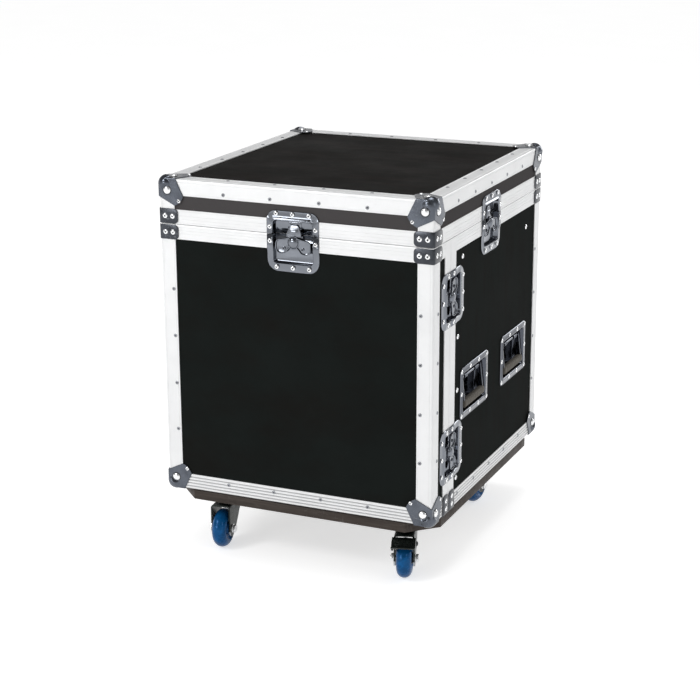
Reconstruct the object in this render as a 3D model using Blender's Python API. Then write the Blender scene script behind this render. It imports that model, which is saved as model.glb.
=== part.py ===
"""Combination rack case on casters: a plywood body with 19 inch rack rails in front and on top,
a lift-off lid, a pull-off front cover, butterfly latches, sprung handles and four swivel casters.

Units are metres, +Z is up, the front cover faces -Y, and the floor under the wheels is z = 0.
"""

import math

import bmesh
import bpy
from mathutils import Matrix, Vector

# Overall sizes, over the aluminium edges
CASE_WIDTH = 0.535
CASE_DEPTH = 0.585
CASE_HEIGHT = 0.595
LID_HEIGHT = 0.0835
COVER_DEPTH = 0.0825

# Sheet thicknesses and the gaps between pieces
PANEL = 0.009
FIT = 0.0003
LAP = 0.00005
SEAM_GAP = 0.0008

# Edge angles
EDGE_LEG = 0.030
EDGE_WALL = 0.0015
EDGE_ROUND = 0.0025
RIB_COUNT = 4
RIB_PITCH = 0.0056
RIB_WIDTH = 0.0014
RIB_DEPTH = 0.0006

# Tongue and groove channels along the seams
SEAM_LEG = 0.0275
SEAM_WALL = 0.0015
SEAM_INNER_LEG = 0.016
SEAM_INNER_WALL = 0.0012
TONGUE_HEIGHT = 0.0032
TONGUE_WIDTH = 0.0030
TONGUE_PLAY = 0.0006
GROOVE_SKIN = 0.0009

# Pressed steel corners
PLATE = 0.0015
BALL_RADIUS = 0.017
BALL_INSET = 0.011
EAR_ROOT = 0.035
EAR_REACH = 0.052
FOLD_ROUND = 0.003
CORNER_OPEN = 0.008
TRIM_CORNER_OPEN = 0.0032
BRACE_LEG = 0.037
BRACE_HEIGHT = 0.0285
BRACE_CLEAR = 0.0012
BRACE_ROUND = 0.006

# Butterfly latches; u runs along the seam, v across it towards the keeper, n outwards
LATCH_HALF_WIDTH = 0.051
LATCH_REACH = 0.068
KEEPER_REACH = 0.0455
LATCH_CORNER = 0.022
KEEPER_CORNER = 0.017
PAN_HALF_WIDTH = 0.0385
PAN_REACH = 0.052
KEEPER_PAN_REACH = 0.030
LATCH_PAN_DEPTH = 0.0093
PAN_WALL = 0.0012
HUB_BELOW_SEAM = 0.014
SPINDLE_RADIUS = 0.003
ECCENTRIC_RADIUS = 0.007
ECCENTRIC_THROW = 0.003
CLAW_WALL = 0.002
CLAW_HALF_WIDTH = 0.016
CLAW_NECK_HALF_WIDTH = 0.011
CLAW_TAIL = 0.016
CLAW_NOSE = 0.017
CLAW_PLAY = 0.0009
KEEPER_LIP = 0.0085
LIP_HALF_WIDTH = 0.013
WING_HALF_SPAN = 0.0325
WING_WALL = 0.0018
LATCH_CUT_PLAY = 0.0005

# Where the latches sit
SIDE_LATCH_Y = 0.0
LOWER_LATCH_LIFT = 0.111
UPPER_LATCH_DROP = 0.1095

# Sprung handles; u runs along the grip, v up, n outwards from the panel
HANDLE_HALF_WIDTH = 0.0745
HANDLE_HALF_HEIGHT = 0.0495
HANDLE_CORNER = 0.010
HANDLE_PAN_HALF_WIDTH = 0.060
HANDLE_PAN_HALF_HEIGHT = 0.037
HANDLE_PAN_DEPTH = 0.020
HANDLE_PIVOT_UP = 0.025
HANDLE_PIVOT_DEPTH = 0.008
HANDLE_PIN_RADIUS = 0.003
BAIL_ARM_WALL = 0.004
BAIL_ARM_WIDTH = 0.008
GRIP_LENGTH = 0.104
GRIP_HEIGHT = 0.0145
GRIP_THICKNESS = 0.0130
GRIP_DOWN = 0.0235
GRIP_OUT = -0.0020
HANDLE_HEIGHT = 0.2055
HANDLE_FROM_SEAM = 0.1325
HANDLE_FROM_REAR = 0.1465

# Rack rails and the bar that ties the sides together
RACK_UNIT = 0.04445
FRONT_UNITS = 9
TOP_UNITS = 10
RAIL_WALL = 0.002
RAIL_SIDE_LEG = 0.025
RAIL_FACE_INNER = 0.2225
RAIL_HOLE_X = 0.2325
RAIL_HOLE = 0.0095
RAIL_HOLE_STEPS = (0.00635, 0.022225, 0.0381)
FRONT_RAIL_SETBACK = 0.031
FRONT_RAIL_LIFT = 0.0145
TOP_RAIL_DROP = 0.033
TOP_RAIL_FALL = math.radians(3.2)
TOP_RAIL_SETBACK = 0.0211
CROSSBAR_DEPTH = 0.018
CROSSBAR_HEIGHT = 0.024
CROSSBAR_WALL = 0.0015
CROSSBAR_DROP = 0.003

# Caster board
BOARD_THICKNESS = 0.018
BOARD_INSET = 0.002
BOARD_CORNER_CUT = 0.050

# Casters; the wheel trails towards the front, turned by the angle given for each
CASTER_FROM_SIDE = 0.082
CASTER_FROM_END = 0.085
CASTER_TRAIL = 0.035
CASTER_PLATE = (0.066, 0.090)
CASTER_PLATE_WALL = 0.0025
RACE_RADIUS = 0.025
RACE_HEIGHT = 0.010
CROWN_RADIUS = 0.021
KINGPIN_RADIUS = 0.006
CROWN_HEIGHT = 0.0077
WHEEL_RADIUS = 0.0375
TREAD_WIDTH = 0.029
HUB_PROUD = 0.001
HUB_RADIUS = 0.011
AXLE_RADIUS = 0.004
FORK_WALL = 0.003
FORK_SIDE_PLAY = 0.001
FORK_OVER_WHEEL = 0.0095
FORK_BEND = 0.006
PEDAL_WALL = 0.002
PEDAL_PIN_TRAIL = 0.040
PEDAL_PIN_DROP = 0.0195
CASTER_YAWS = {
    "front_left": math.radians(8.0),
    "front_right": math.radians(17.0),
    "rear_left": math.radians(3.0),
    "rear_right": math.radians(-6.0),
}
BRAKED = ("front_right", "rear_left")

# Facets of round shapes
WHEEL_STEPS = 20
SMALL_STEPS = 12
BALL_STEPS = 10
CORNER_STEPS = 2

# Levels and faces worked out from the sizes above
HUB_WIDTH = TREAD_WIDTH + 2 * HUB_PROUD
FORK_HEAD = 2 * WHEEL_RADIUS + FORK_OVER_WHEEL + FORK_WALL
RACE_LOW = FORK_HEAD + CROWN_HEIGHT + FIT
CASTER_HEIGHT = RACE_LOW + RACE_HEIGHT + CASTER_PLATE_WALL
BOARD_GAP = PLATE + 2 * FIT
BOTTOM = CASTER_HEIGHT + BOARD_THICKNESS + BOARD_GAP
TOP = BOTTOM + CASE_HEIGHT
LID_SEAM = TOP - LID_HEIGHT
HALF_WIDTH = CASE_WIDTH / 2
HALF_DEPTH = CASE_DEPTH / 2
COVER_SEAM = -HALF_DEPTH + COVER_DEPTH
SKIN = EDGE_WALL + FIT
INNER_SKIN = SKIN + PANEL
PAN_BACK = LATCH_PAN_DEPTH + PAN_WALL
BACK = max(INNER_SKIN, PAN_BACK)
RAIL_EDGE = HALF_WIDTH - BACK - FIT
CHANNEL_DEPTH = BACK + FIT + SEAM_INNER_WALL
HALF_GAP = SEAM_GAP / 2
CHANNEL_FLOOR = HALF_GAP + SEAM_WALL + FIT
GROOVE_FLOOR = HALF_GAP + TONGUE_HEIGHT + TONGUE_PLAY + GROOVE_SKIN + FIT

X_AXIS = Vector((1, 0, 0))
Y_AXIS = Vector((0, 1, 0))
Z_AXIS = Vector((0, 0, 1))


# Building blocks

def frame_of(origin, u_axis, v_axis):
    """A matrix whose x and y axes are u and v, and whose z axis is their normal."""
    u_axis, v_axis = Vector(u_axis), Vector(v_axis)
    n_axis = u_axis.cross(v_axis)
    rotation = Matrix((u_axis, v_axis, n_axis)).transposed().to_4x4()
    return Matrix.Translation(origin) @ rotation


def mesh_from(bm, matrix=None):
    """A mesh of the closed bmesh, moved by the matrix, with its faces pointing out."""
    if matrix is not None:
        bmesh.ops.transform(bm, matrix=matrix, verts=bm.verts)
    bmesh.ops.recalc_face_normals(bm, faces=bm.faces)
    mesh = bpy.data.meshes.new("solid")
    bm.to_mesh(mesh)
    bm.free()
    return mesh


def box(x, y, z, matrix=None):
    """A box that spans three (low, high) pairs."""
    centre = [sum(span) / 2 for span in (x, y, z)]
    size = [abs(span[1] - span[0]) for span in (x, y, z)]
    bm = bmesh.new()
    place = Matrix.Translation(centre) @ Matrix.Diagonal((*size, 1))
    bmesh.ops.create_cube(bm, size=1, matrix=place)
    return mesh_from(bm, matrix)


def prism(outline, low, high, matrix=None):
    """A flat outline in x and y, extruded along z from low to high."""
    bm = bmesh.new()
    verts = [bm.verts.new((x, y, low)) for x, y in outline]
    face = bm.faces.new(verts)
    raised = bmesh.ops.extrude_face_region(bm, geom=[face])["geom"]
    top = [item for item in raised if isinstance(item, bmesh.types.BMVert)]
    bmesh.ops.translate(bm, verts=top, vec=(0, 0, high - low))
    return mesh_from(bm, matrix)


def cylinder(radius, low, high, steps=SMALL_STEPS, matrix=None, top_radius=None):
    """A cylinder, or a cone where top_radius differs, along z from low to high."""
    bm = bmesh.new()
    bmesh.ops.create_cone(
        bm,
        cap_ends=True,
        segments=steps,
        radius1=radius,
        radius2=radius if top_radius is None else top_radius,
        depth=high - low,
        matrix=Matrix.Translation((0, 0, (low + high) / 2)),
    )
    return mesh_from(bm, matrix)


def frame_ring(section, size_x, size_y, matrix=None):
    """A mitred rectangular frame round z. The section's points are (inset, height)."""
    side = min(size_x, size_y)
    bm = bmesh.new()
    verts = []
    for inset, height in section:
        reach = side / 2 - inset
        verts.append(bm.verts.new((reach, reach, height)))
    edges = [bm.edges.new(pair) for pair in zip(verts, verts[1:] + verts[:1])]
    bmesh.ops.spin(
        bm,
        geom=verts + edges,
        cent=(0, 0, 0),
        axis=(0, 0, 1),
        angle=2 * math.pi,
        steps=4,
        use_merge=True,
    )
    bmesh.ops.remove_doubles(bm, verts=bm.verts, dist=1e-6)
    for vert in bm.verts:
        vert.co.x += math.copysign((size_x - side) / 2, vert.co.x)
        vert.co.y += math.copysign((size_y - side) / 2, vert.co.y)
    return mesh_from(bm, matrix)


def turned(profile, steps, matrix=None):
    """A closed profile of (radius, z) points, turned round z."""
    bm = bmesh.new()
    verts = [bm.verts.new((radius, 0, z)) for radius, z in profile]
    edges = [bm.edges.new(pair) for pair in zip(verts, verts[1:] + verts[:1])]
    bmesh.ops.spin(
        bm,
        geom=verts + edges,
        cent=(0, 0, 0),
        axis=(0, 0, 1),
        angle=2 * math.pi,
        steps=steps,
        use_merge=True,
    )
    bmesh.ops.remove_doubles(bm, verts=bm.verts, dist=1e-6)
    return mesh_from(bm, matrix)


def trimmed(mesh, point, normal):
    """The mesh without what lies beyond the plane on its normal's side, closed again."""
    bm = bmesh.new()
    bm.from_mesh(mesh)
    bpy.data.meshes.remove(mesh)
    cut = bmesh.ops.bisect_plane(
        bm,
        geom=bm.verts[:] + bm.edges[:] + bm.faces[:],
        plane_co=point,
        plane_no=normal,
        clear_outer=True,
    )
    rim = [item for item in cut["geom_cut"] if isinstance(item, bmesh.types.BMEdge)]
    bmesh.ops.holes_fill(bm, edges=rim, sides=0)
    return mesh_from(bm)


def moved(mesh, matrix):
    """A copy of the mesh, moved by the matrix."""
    bm = bmesh.new()
    bm.from_mesh(mesh)
    return mesh_from(bm, matrix)


def boolean(base, others, operation):
    """The mesh of base after the operation with each other mesh in turn."""
    target = bpy.data.objects.new("boolean_target", base)
    WORKSHOP.objects.link(target)
    tools = []
    for mesh in others:
        tool = bpy.data.objects.new("boolean_tool", mesh)
        WORKSHOP.objects.link(tool)
        tools.append(tool)
        modifier = target.modifiers.new(operation, "BOOLEAN")
        modifier.operation = operation
        modifier.solver = "EXACT"
        modifier.object = tool
    graph = bpy.context.evaluated_depsgraph_get()
    result = bpy.data.meshes.new_from_object(target.evaluated_get(graph))
    for temporary in [target, *tools]:
        mesh = temporary.data
        bpy.data.objects.remove(temporary)
        bpy.data.meshes.remove(mesh)
    return tidied(result)


def tidied(mesh):
    """The mesh with doubled points merged and flat faces in one piece."""
    bm = bmesh.new()
    bm.from_mesh(mesh)
    bpy.data.meshes.remove(mesh)
    bmesh.ops.remove_doubles(bm, verts=bm.verts, dist=2e-6)
    bmesh.ops.dissolve_limit(
        bm, angle_limit=math.radians(0.2), verts=bm.verts, edges=bm.edges
    )
    loose = [vert for vert in bm.verts if not vert.link_faces]
    bmesh.ops.delete(bm, geom=loose, context="VERTS")
    result = bpy.data.meshes.new("solid")
    bm.to_mesh(result)
    bm.free()
    return result


def joined(meshes):
    return boolean(meshes[0], meshes[1:], "UNION")


def cut(mesh, cutters):
    return boolean(mesh, cutters, "DIFFERENCE")


def arc(centre, radius, start, end, steps=CORNER_STEPS):
    """Points on an arc, in degrees, both ends included."""
    points = []
    for step in range(steps + 1):
        angle = math.radians(start + (end - start) * step / steps)
        x = centre[0] + radius * math.cos(angle)
        y = centre[1] + radius * math.sin(angle)
        points.append((x, y))
    return points


def rounded_rectangle(x, y, radii):
    """An outline round two (low, high) pairs. The radii start at the low, low corner."""
    corners = [
        (x[0], y[0], 180),
        (x[1], y[0], 270),
        (x[1], y[1], 0),
        (x[0], y[1], 90),
    ]
    points = []
    for (corner_x, corner_y, start), radius in zip(corners, radii):
        if radius == 0:
            points.append((corner_x, corner_y))
            continue
        centre_x = corner_x + math.copysign(radius, sum(x) / 2 - corner_x)
        centre_y = corner_y + math.copysign(radius, sum(y) / 2 - corner_y)
        points += arc((centre_x, centre_y), radius, start, start + 90)
    return points


# Objects, materials and assemblies

def painted(name, colour, roughness, metallic):
    """A Principled BSDF material."""
    material = bpy.data.materials.new(name)
    material.use_nodes = True
    shader = material.node_tree.nodes["Principled BSDF"]
    shader.inputs["Base Color"].default_value = (*colour, 1)
    shader.inputs["Roughness"].default_value = roughness
    shader.inputs["Metallic"].default_value = metallic
    material.diffuse_color = (*colour, 1)
    return material


def assembly(name, location):
    """An empty that carries the pieces of one assembly."""
    empty = bpy.data.objects.new(name, None)
    empty.location = location
    CASE.objects.link(empty)
    return empty


def part(name, mesh, material, parent=None, matrix=None):
    """Adds a piece. Its mesh is in the matrix's frame, or in the case's where there is none."""
    if matrix is None:
        matrix = Matrix.Translation(parent.location) if parent else Matrix.Identity(4)
        mesh.transform(matrix.inverted())
    if not mesh.materials:
        mesh.materials.append(material)
    mesh.name = name
    piece = bpy.data.objects.new(name, mesh)
    CASE.objects.link(piece)
    piece.matrix_basis = matrix
    if parent:
        piece.parent = parent
        piece.matrix_parent_inverse = Matrix.Translation(parent.location).inverted()
    return piece


# Edge angles, seam channels and corner fittings

def edge_section(ribbed=False):
    """Section of an edge angle: x runs in from the ribbed face, y in from the other."""
    ribs = []
    for index in reversed(range(RIB_COUNT if ribbed else 0)):
        middle = EDGE_LEG / 2 + (index - (RIB_COUNT - 1) / 2) * RIB_PITCH
        high, low = middle + RIB_WIDTH / 2, middle - RIB_WIDTH / 2
        ribs += [(0, high), (RIB_DEPTH, high), (RIB_DEPTH, low), (0, low)]
    bend = arc((EDGE_ROUND, EDGE_ROUND), EDGE_ROUND, 180, 270, 2)
    inside = [
        (EDGE_LEG, 0),
        (EDGE_LEG, EDGE_WALL),
        (EDGE_WALL, EDGE_WALL),
        (EDGE_WALL, EDGE_LEG),
    ]
    return [(0, EDGE_LEG), *ribs, *bend, *inside]


def edge_length(corner, ribbed_in, other_in, run, length, laps=1, ribbed=False):
    """An edge angle from a corner point, with the inward direction of each of its faces.
    Angles that meet at a corner are tucked in by different laps, so one lies in the other."""
    rotation = Matrix((Vector(ribbed_in), Vector(other_in), Vector(run))).transposed()
    tuck = Matrix.Translation([laps * LAP] * 3)
    matrix = Matrix.Translation(corner) @ rotation.to_4x4() @ tuck
    return prism(edge_section(ribbed), 0, length - 2 * laps * LAP, matrix)


def seam_section(groove):
    """Section of a seam channel: x runs in from the outer face, y away from the seam."""
    start = HALF_GAP
    web = HALF_GAP + SEAM_WALL
    middle = CHANNEL_DEPTH / 2
    half_groove = TONGUE_WIDTH / 2 + TONGUE_PLAY
    mouth = []
    bed = []
    if groove:
        floor = start + TONGUE_HEIGHT + TONGUE_PLAY
        mouth = [
            (middle - half_groove, start),
            (middle - half_groove, floor),
            (middle + half_groove, floor),
            (middle + half_groove, start),
        ]
        under = floor + GROOVE_SKIN
        bed = [
            (middle + half_groove + GROOVE_SKIN, web),
            (middle + half_groove + GROOVE_SKIN, under),
            (middle - half_groove - GROOVE_SKIN, under),
            (middle - half_groove - GROOVE_SKIN, web),
        ]
    return [
        (0, start),
        *mouth,
        (CHANNEL_DEPTH, start),
        (CHANNEL_DEPTH, start + SEAM_INNER_LEG),
        (CHANNEL_DEPTH - SEAM_INNER_WALL, start + SEAM_INNER_LEG),
        (CHANNEL_DEPTH - SEAM_INNER_WALL, web),
        *bed,
        (SEAM_WALL, web),
        (SEAM_WALL, SEAM_LEG),
        (0, SEAM_LEG),
    ]


def tongue_section():
    """Section of the tongue that stands on a channel's web, towards the seam."""
    middle = CHANNEL_DEPTH / 2
    half = TONGUE_WIDTH / 2
    tip = HALF_GAP - TONGUE_HEIGHT
    return [
        (middle - half, HALF_GAP + SEAM_WALL / 2),
        (middle + half, HALF_GAP + SEAM_WALL / 2),
        (middle + half * 0.6, tip),
        (middle - half * 0.6, tip),
    ]


def lying_ring(section, level, up):
    """A frame round the case in a level plane. up is 1 where the section's y runs upwards."""
    flip = Matrix.Diagonal((1, 1, up, 1))
    matrix = Matrix.Translation((0, 0, level)) @ flip
    return frame_ring(section, CASE_WIDTH, CASE_DEPTH, matrix)


def standing_ring(section, depth, back):
    """A frame round the case in an upright plane across y, as high as the whole case.
    back is 1 where the section's y runs towards the rear."""
    middle = (BOTTOM + TOP) / 2
    turn = Matrix(((1, 0, 0), (0, 0, back), (0, 1, 0))).to_4x4()
    matrix = Matrix.Translation((0, depth, middle)) @ turn
    return frame_ring(section, CASE_WIDTH - 2 * LAP, CASE_HEIGHT - 2 * LAP, matrix)


def open_top(ring):
    """A standing frame without its top, cut off inside the web of the frame under the lid."""
    return trimmed(ring, (0, 0, LID_SEAM - HALF_GAP - SEAM_WALL / 2), (0, 0, 1))


def corner_block(low, high, inward, corner):
    """A cube along the diagonal of a case corner, between two depths below its faces."""
    place = Matrix.Translation(corner) @ Matrix.Diagonal((*inward, 1))
    return box(*[(low, high)] * 3, place)


def folded_block():
    """A block whose three arrises at the case corner are rounded as a pressed plate's are."""
    bm = bmesh.new()
    size = EAR_REACH * 2
    place = Matrix.Translation([size / 2 - PLATE] * 3)
    bmesh.ops.create_cube(bm, size=size, matrix=place)
    near = []
    for edge in bm.edges:
        middle = (edge.verts[0].co + edge.verts[1].co) / 2
        if sum(value < 0 for value in middle) == 2:
            near.append(edge)
    bmesh.ops.bevel(
        bm,
        geom=near,
        offset=FOLD_ROUND,
        offset_type="OFFSET",
        segments=2,
        profile=0.5,
        affect="EDGES",
        material=-1,
    )
    return mesh_from(bm)


def ball_corner(corner, inward):
    """A pressed ball corner on three outer faces that meet at the corner."""
    tip = EAR_REACH - 0.004
    outline = [
        (-PLATE, -PLATE),
        (EAR_ROOT, -PLATE),
        (EAR_REACH, EAR_ROOT),
        (tip, tip * 0.91),
        (tip * 0.91, tip),
        (EAR_ROOT, EAR_REACH),
        (-PLATE, EAR_ROOT),
    ]
    top = prism(outline, -PLATE, EDGE_WALL / 2)
    side = moved(top, Matrix(((0, 0, 1), (1, 0, 0), (0, 1, 0))).to_4x4())
    front = moved(top, Matrix(((0, 1, 0), (0, 0, 1), (1, 0, 0))).to_4x4())
    bm = bmesh.new()
    bmesh.ops.create_uvsphere(
        bm, u_segments=BALL_STEPS, v_segments=BALL_STEPS // 2 + 2, radius=BALL_RADIUS
    )
    ball = mesh_from(bm, Matrix.Translation([BALL_INSET] * 3))
    hollow = box(*[(EDGE_WALL * 0.8, EAR_REACH * 2)] * 3)
    plates = boolean(folded_block(), [joined([top, side, front])], "INTERSECT")
    plates = cut(plates, [box(*[(-2 * PLATE, CORNER_OPEN)] * 3)])
    fitting = cut(joined([ball, plates]), [hollow])
    place = Matrix.Translation(corner) @ Matrix.Diagonal((*inward, 1))
    fitted = moved(fitting, place)
    bpy.data.meshes.remove(fitting)
    return fitted


def brace(corner, first_in, second_in, along):
    """A two-legged seam brace. along points away from the seam, on the outer edge."""
    rotation = Matrix((Vector(first_in), Vector(second_in), Vector(along))).transposed()
    matrix = Matrix.Translation(corner) @ rotation.to_4x4()

    def angle(inner, outer):
        return [
            (-outer, BRACE_LEG),
            *arc((EDGE_ROUND, EDGE_ROUND), EDGE_ROUND + outer, 180, 270, 2),
            (BRACE_LEG, -outer),
            (BRACE_LEG, inner),
            (inner, inner),
            (inner, BRACE_LEG),
        ]

    pad = prism(angle(EDGE_WALL / 2, FIT), BRACE_CLEAR, SEAM_LEG - FIT, matrix)
    plate = prism(angle(-FIT * 0.9, PLATE + FIT), BRACE_CLEAR, BRACE_HEIGHT, matrix)
    return joined([pad, plate])


# Butterfly latch

def latch_outline(reach, radius, sign):
    """Outline of half a latch plate from the seam outwards, on the sign's side of it."""
    near, far = HALF_GAP + FIT / 2, reach
    outline = rounded_rectangle(
        (-LATCH_HALF_WIDTH, LATCH_HALF_WIDTH), (near, far), (0, 0, radius, radius)
    )
    return [(u, v * sign) for u, v in outline]


def recessed_plate(reach, radius, pan_reach, sign, on_trim):
    """Half of a latch: a plate over the seam trim with a pan sunk through the panel."""
    lift = -EDGE_WALL / 2 if on_trim else FIT
    outline = latch_outline(reach, radius, sign)
    plate = prism(outline, lift, PLATE + FIT)
    step = prism(outline, -EDGE_WALL, PLATE / 2)
    step = trimmed(step, (0, sign * (SEAM_LEG + FIT), 0), (0, -sign, 0))
    pan_v = sorted((sign * (HALF_GAP + FIT / 2), sign * (pan_reach + PAN_WALL)))
    pan_u = PAN_HALF_WIDTH + PAN_WALL
    pan = box((-pan_u, pan_u), pan_v, (-PAN_BACK, PLATE / 2))
    return [plate, step, pan]


def pan_hollow(pan_reach, sign):
    """What is open inside a latch pan."""
    hollow_v = sorted((-sign * PAN_WALL, sign * pan_reach))
    hollow_u = (-PAN_HALF_WIDTH, PAN_HALF_WIDTH)
    return box(hollow_u, hollow_v, (-LATCH_PAN_DEPTH, PLATE * 3))


def latch_dish():
    """The fixed half of a latch, which carries the wing and the claw."""
    plate, step, pan = recessed_plate(LATCH_REACH, LATCH_CORNER, PAN_REACH, -1, False)
    bore = cylinder(SPINDLE_RADIUS + FIT, -2 * LATCH_PAN_DEPTH, 0)
    bore.transform(Matrix.Translation((0, -HUB_BELOW_SEAM, 0)))
    return cut(joined([plate, step, pan]), [pan_hollow(PAN_REACH, -1), bore])


def keeper_pieces(matrix):
    """The keeper half of a latch, as solids to join to the trim that carries it."""
    pieces = recessed_plate(KEEPER_REACH, KEEPER_CORNER, KEEPER_PAN_REACH, 1, True)
    return [moved(piece, matrix) for piece in pieces]


def keeper_lip(matrix):
    """The lip in the keeper pan that the claw reaches over."""
    claw_top = claw_levels()[1]
    outline = [
        (KEEPER_LIP, -LATCH_PAN_DEPTH - PAN_WALL / 2),
        (KEEPER_LIP + 0.004, -LATCH_PAN_DEPTH - PAN_WALL / 2),
        (KEEPER_LIP + 0.0025, claw_top - FIT * 1.5),
        (KEEPER_LIP + 0.001, claw_top - FIT * 1.5),
    ]
    upright = Matrix(((0, 0, 1), (1, 0, 0), (0, 1, 0))).to_4x4()
    return prism(outline, -LIP_HALF_WIDTH, LIP_HALF_WIDTH, matrix @ upright)


def claw_levels():
    """Underside of the claw's tail, and of its raised nose, from the trim's face."""
    tail = -LATCH_PAN_DEPTH + FIT
    nose = tail + CLAW_WALL + 0.0014
    return tail, nose


def latch_claw():
    """The sliding claw: a tail with a window for the eccentric, and a raised nose.
    Its frame is the latch's, moved to the hub."""
    tail, nose = claw_levels()
    front = HUB_BELOW_SEAM - 0.002
    back = front - 0.002
    plate = prism(
        rounded_rectangle(
            (-CLAW_HALF_WIDTH, CLAW_HALF_WIDTH), (-CLAW_TAIL, front), (0.004, 0.004, 0, 0)
        ),
        tail,
        tail + CLAW_WALL,
    )
    riser = box(
        (-CLAW_NECK_HALF_WIDTH, CLAW_NECK_HALF_WIDTH), (back, front), (tail, nose + CLAW_WALL)
    )
    tip = HUB_BELOW_SEAM + CLAW_NOSE
    neck = prism(
        rounded_rectangle(
            (-CLAW_NECK_HALF_WIDTH, CLAW_NECK_HALF_WIDTH), (back, tip), (0, 0, 0.005, 0.005)
        ),
        nose,
        nose + CLAW_WALL,
    )
    half_u = ECCENTRIC_RADIUS + ECCENTRIC_THROW + CLAW_PLAY
    half_v = ECCENTRIC_RADIUS + CLAW_PLAY
    centre_v = -ECCENTRIC_THROW
    window = prism(
        rounded_rectangle(
            (-half_u, half_u),
            (centre_v - half_v, centre_v + half_v),
            (half_v * 0.99,) * 4,
        ),
        tail - CLAW_WALL,
        tail + 2 * CLAW_WALL,
    )
    return cut(joined([plate, riser, neck]), [window])


def latch_wing():
    """The butterfly wing with its hub, eccentric and spindle, in a frame on its axis."""
    tail, nose = claw_levels()
    cap_low = tail + CLAW_WALL + FIT
    wing_low = nose + CLAW_WALL + 2 * FIT
    wing_high = wing_low + WING_WALL
    spindle = cylinder(SPINDLE_RADIUS, -LATCH_PAN_DEPTH - PAN_WALL * 0.8, tail + CLAW_WALL)
    eccentric = cylinder(ECCENTRIC_RADIUS, tail, cap_low + FIT)
    eccentric.transform(Matrix.Translation((0, -ECCENTRIC_THROW, 0)))
    hub = cylinder(0.0088, cap_low, wing_high)
    crown = cylinder(0.0080, wing_high - FIT, wing_high + 0.0022, top_radius=0.0055)
    half = WING_HALF_SPAN
    right = [
        (0.0040, 0.0090),
        (0.0110, 0.0095),
        (0.0190, 0.0135),
        (half - 0.0050, 0.0125),
        (half, 0.0070),
        (half, -0.0085),
        (half - 0.0060, -0.0140),
        (0.0180, -0.0135),
        (0.0110, -0.0075),
        (0.0040, -0.0085),
    ]
    left = [(-u, v) for u, v in reversed(right)]
    plate = prism(right + left, wing_low, wing_high)
    rims = []
    for side in (-1, 1):
        reach = sorted((side * (half - 0.0022), side * half))
        rims.append(box(reach, (-0.0080, 0.0065), (wing_low, wing_high + 0.0026)))
    return joined([plate, hub, eccentric, spindle, crown, *rims])


def latch_cutter(matrix, reach, sign, depth=2 * INNER_SKIN):
    """What a latch pan needs cut from the trims and panels that it passes through."""
    half_u = PAN_HALF_WIDTH + PAN_WALL + LATCH_CUT_PLAY
    far = reach + PAN_WALL + LATCH_CUT_PLAY
    span = sorted((-sign * TONGUE_HEIGHT * 2, sign * far))
    return box((-half_u, half_u), span, (-depth, INNER_SKIN), matrix)


def trim_cutter(matrix, sign):
    """The same for a seam trim, whose inner leg runs on behind the pan."""
    return latch_cutter(matrix, PAN_REACH, sign, PAN_BACK + FIT)


# Places of the eight latches, by name: the frame, and what carries the wing
LID_LATCHES = {
    "front": frame_of((0, -HALF_DEPTH, LID_SEAM), X_AXIS, Z_AXIS),
    "right": frame_of((HALF_WIDTH, SIDE_LATCH_Y, LID_SEAM), Y_AXIS, Z_AXIS),
    "rear": frame_of((0, HALF_DEPTH, LID_SEAM), -X_AXIS, Z_AXIS),
    "left": frame_of((-HALF_WIDTH, SIDE_LATCH_Y, LID_SEAM), -Y_AXIS, Z_AXIS),
}
COVER_LATCHES = {}
LATCH_LEVELS = {"lower": BOTTOM + LOWER_LATCH_LIFT, "upper": LID_SEAM - UPPER_LATCH_DROP}
for level_name, level in LATCH_LEVELS.items():
    COVER_LATCHES["right_" + level_name] = frame_of(
        (HALF_WIDTH, COVER_SEAM, level), Z_AXIS, -Y_AXIS
    )
    COVER_LATCHES["left_" + level_name] = frame_of(
        (-HALF_WIDTH, COVER_SEAM, level), -Z_AXIS, -Y_AXIS
    )


# Sprung handle

def handle_frame(side, depth):
    """The frame of a handle on the right (1) or left (-1) panel's outer face."""
    origin = (side * (HALF_WIDTH - SKIN), depth, BOTTOM + HANDLE_HEIGHT)
    return frame_of(origin, side * Y_AXIS, Z_AXIS)


HANDLES = {}
HANDLE_DEPTHS = {"front": COVER_SEAM + HANDLE_FROM_SEAM, "rear": HALF_DEPTH - HANDLE_FROM_REAR}
for place_name, depth in HANDLE_DEPTHS.items():
    HANDLES["right_" + place_name] = handle_frame(1, depth)
    HANDLES["left_" + place_name] = handle_frame(-1, depth)


def handle_pan(grow, low, high):
    """The block of a handle's pan, grown by a wall or a play."""
    half_u = HANDLE_PAN_HALF_WIDTH + grow
    half_v = HANDLE_PAN_HALF_HEIGHT + grow
    outline = rounded_rectangle((-half_u, half_u), (-half_v, half_v), (0.006,) * 4)
    return prism(outline, low, high)


def handle_dish():
    """The recessed dish of a handle, with the holes that its pin turns in."""
    outline = rounded_rectangle(
        (-HANDLE_HALF_WIDTH, HANDLE_HALF_WIDTH),
        (-HANDLE_HALF_HEIGHT, HANDLE_HALF_HEIGHT),
        (HANDLE_CORNER,) * 4,
    )
    plate = prism(outline, FIT, FIT + PLATE)
    pan = handle_pan(PAN_WALL, -HANDLE_PAN_DEPTH - PAN_WALL, FIT + PLATE / 2)
    hollow = handle_pan(0, -HANDLE_PAN_DEPTH, 3 * PLATE)
    reach = HANDLE_PAN_HALF_WIDTH + 2 * PAN_WALL
    pin_hole = cylinder(HANDLE_PIN_RADIUS + FIT, -reach, reach)
    pin_hole.transform(across_u(HANDLE_PIVOT_UP, -HANDLE_PIVOT_DEPTH))
    return cut(joined([plate, pan]), [hollow, pin_hole])


def across_u(v, n):
    """Turns a z axis to run along u, at the given v and n."""
    turn = Matrix(((0, 0, 1), (1, 0, 0), (0, 1, 0))).to_4x4()
    return Matrix.Translation((0, v, n)) @ turn


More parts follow.
